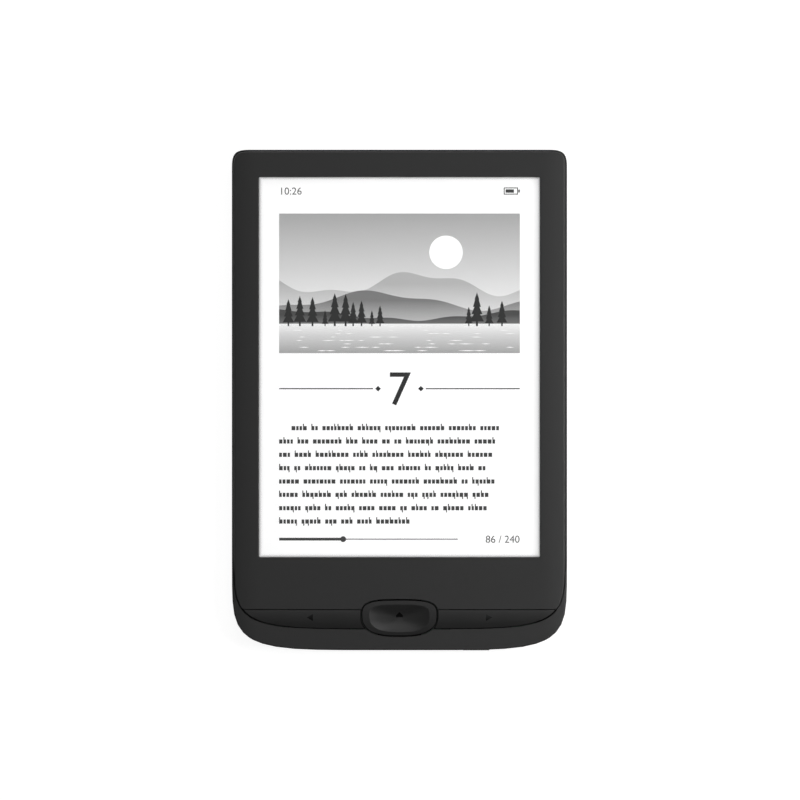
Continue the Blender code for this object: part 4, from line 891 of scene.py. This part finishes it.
def sign(name, key, corners, ink):
    """A sign that follows a key's front, in rings of points around its middle."""
    height = surface_of(key)
    corners = [Vector(corner) for corner in corners]
    centre = sum(corners, Vector((0.0, 0.0))) / len(corners)
    edges = zip(corners, corners[1:] + corners[:1])
    outline = [start.lerp(end, i / SIGN_STEPS) for start, end in edges for i in range(SIGN_STEPS)]
    work = bmesh.new()

    def ring(share, lift):
        places = [centre.lerp(point, share) for point in outline]
        return [work.verts.new((*place, height(*place) + lift)) for place in places]

    rims = []
    for lift in (SIGN_LIFT, -SIGN_DEPTH):
        rings = [ring(share, lift) for share in SIGN_RINGS]
        for outer, inner in zip(rings, rings[1:]):
            band(work, outer, inner)
        work.faces.new(rings[-1])
        rims.append(rings[0])
    band(work, *rims)
    mesh_piece(name, work, ink, key)


def page_signs():
    """Arrow heads that point away from the home key."""
    low, high = PAGE_SIGN_Y - PAGE_SIGN_WIDTH / 2, PAGE_SIGN_Y + PAGE_SIGN_WIDTH / 2
    for key, (side, tones) in PAGE_SIGNS.items():
        base = side * (PAGE_SIGN_X - PAGE_SIGN_LENGTH / 2)
        tip = side * (PAGE_SIGN_X + PAGE_SIGN_LENGTH / 2)
        ink = sign_ink_painted_light(f"{key}_ink", low, high, tones)
        sign(f"{key}_sign", key, ((tip, PAGE_SIGN_Y), (base, low), (base, high)), ink)


def home_sign():
    """An upward arrow head on a short foot, with a painted highlight strip under it."""
    half, low = HOME_SIGN_WIDTH / 2, HOME_SIGN_FOOT - HOME_SIGN_HIGHLIGHT
    edge = HOME_SIGN_HIGHLIGHT / (HOME_SIGN_TIP - low)
    # Painted highlight: the strip under the foot is lighter than the sign
    tones = ((edge - HOME_HIGHLIGHT_BLUR, HOME_HIGHLIGHT_TONE), (edge + HOME_HIGHLIGHT_BLUR, HOME_SIGN_TONE))
    corners = (
        (0.0, HOME_SIGN_TIP),
        (-half, HOME_SIGN_SHOULDER),
        (-half, low),
        (half, low),
        (half, HOME_SIGN_SHOULDER),
    )
    sign("home_key_sign", "home_key", corners, sign_ink_painted_light("home_key_ink", low, HOME_SIGN_TIP, tones))


# Stage


def area_light(name, place, size, power):
    """A square lamp that faces the origin."""
    light = bpy.data.lights.new(name, "AREA")
    light.shape = "SQUARE"
    light.size = size
    light.energy = power
    obj = bpy.data.objects.new(name, light)
    obj.location = place
    obj.rotation_euler = (-Vector(place)).to_track_quat("-Z", "Y").to_euler()
    bpy.context.scene.collection.objects.link(obj)


def world_light():
    """A pale horizon under a dimmer sky."""
    world = bpy.data.worlds.new("studio")
    bpy.context.scene.world = world
    world.use_nodes = True
    tree = world.node_tree
    where = add_node(tree, "ShaderNodeTexCoord").outputs["Generated"]
    tone = ramp(tree, parts_of(tree, where)["Z"], (PALE_SKY, DIM_SKY))
    tree.links.new(tone, tree.nodes["Background"].inputs["Color"])


def floor_finish():
    """A pale finish that shows white to the camera and in mirrors, and takes shadows."""
    material, tree, shader = new_material("floor")
    grain = noise(tree, place_of(tree), FLOOR_GRAIN)
    tones = ((NOISE_DARK, FLOOR_COLOUR * (1 - FLOOR_MOTTLE)), (NOISE_LIGHT, FLOOR_COLOUR))
    tree.links.new(ramp(tree, grain, tones), shader.inputs["Base Color"])
    shader.inputs["Roughness"].default_value = FLOOR_ROUGHNESS
    shader.inputs["Emission Color"].default_value = WHITE
    rays = add_node(tree, "ShaderNodeLightPath").outputs
    seen = rays["Is Camera Ray"]
    for ray in ("Is Glossy Ray", "Is Transmission Ray"):
        seen = joined(tree, "MAXIMUM", seen, rays[ray])
    tree.links.new(joined(tree, "MULTIPLY", seen, FLOOR_GLOW), shader.inputs["Emission Strength"])
    return material


def floor():
    """A wide floor just under the reader."""
    work = bmesh.new()
    bmesh.ops.create_grid(work, x_segments=1, y_segments=1, size=FLOOR_HALF)
    mesh = bpy.data.meshes.new("floor")
    work.to_mesh(mesh)
    work.free()
    mesh.materials.append(floor_finish())
    obj = bpy.data.objects.new("floor", mesh)
    obj.location.z = CAD_BOX[0].z - FLOOR_GAP
    bpy.context.scene.collection.objects.link(obj)


def camera():
    """Straight above the screen, with the top of the page up."""
    data = bpy.data.cameras.new("camera")
    data.type = "ORTHO"
    data.ortho_scale = FRAME_WIDTH
    obj = bpy.data.objects.new("camera", data)
    obj.location = (FRAME_SHIFT_X, 0.0, CAMERA_HEIGHT)
    bpy.context.scene.collection.objects.link(obj)
    bpy.context.scene.camera = obj


bpy.context.scene.view_settings.view_transform = "Standard"
camera()
for lamp, settings in LAMPS.items():
    area_light(lamp, *settings)
world_light()
floor()
dress_all()
status_row()
picture()
chapter_head()
text_block()
page_foot()
page_signs()
home_sign()
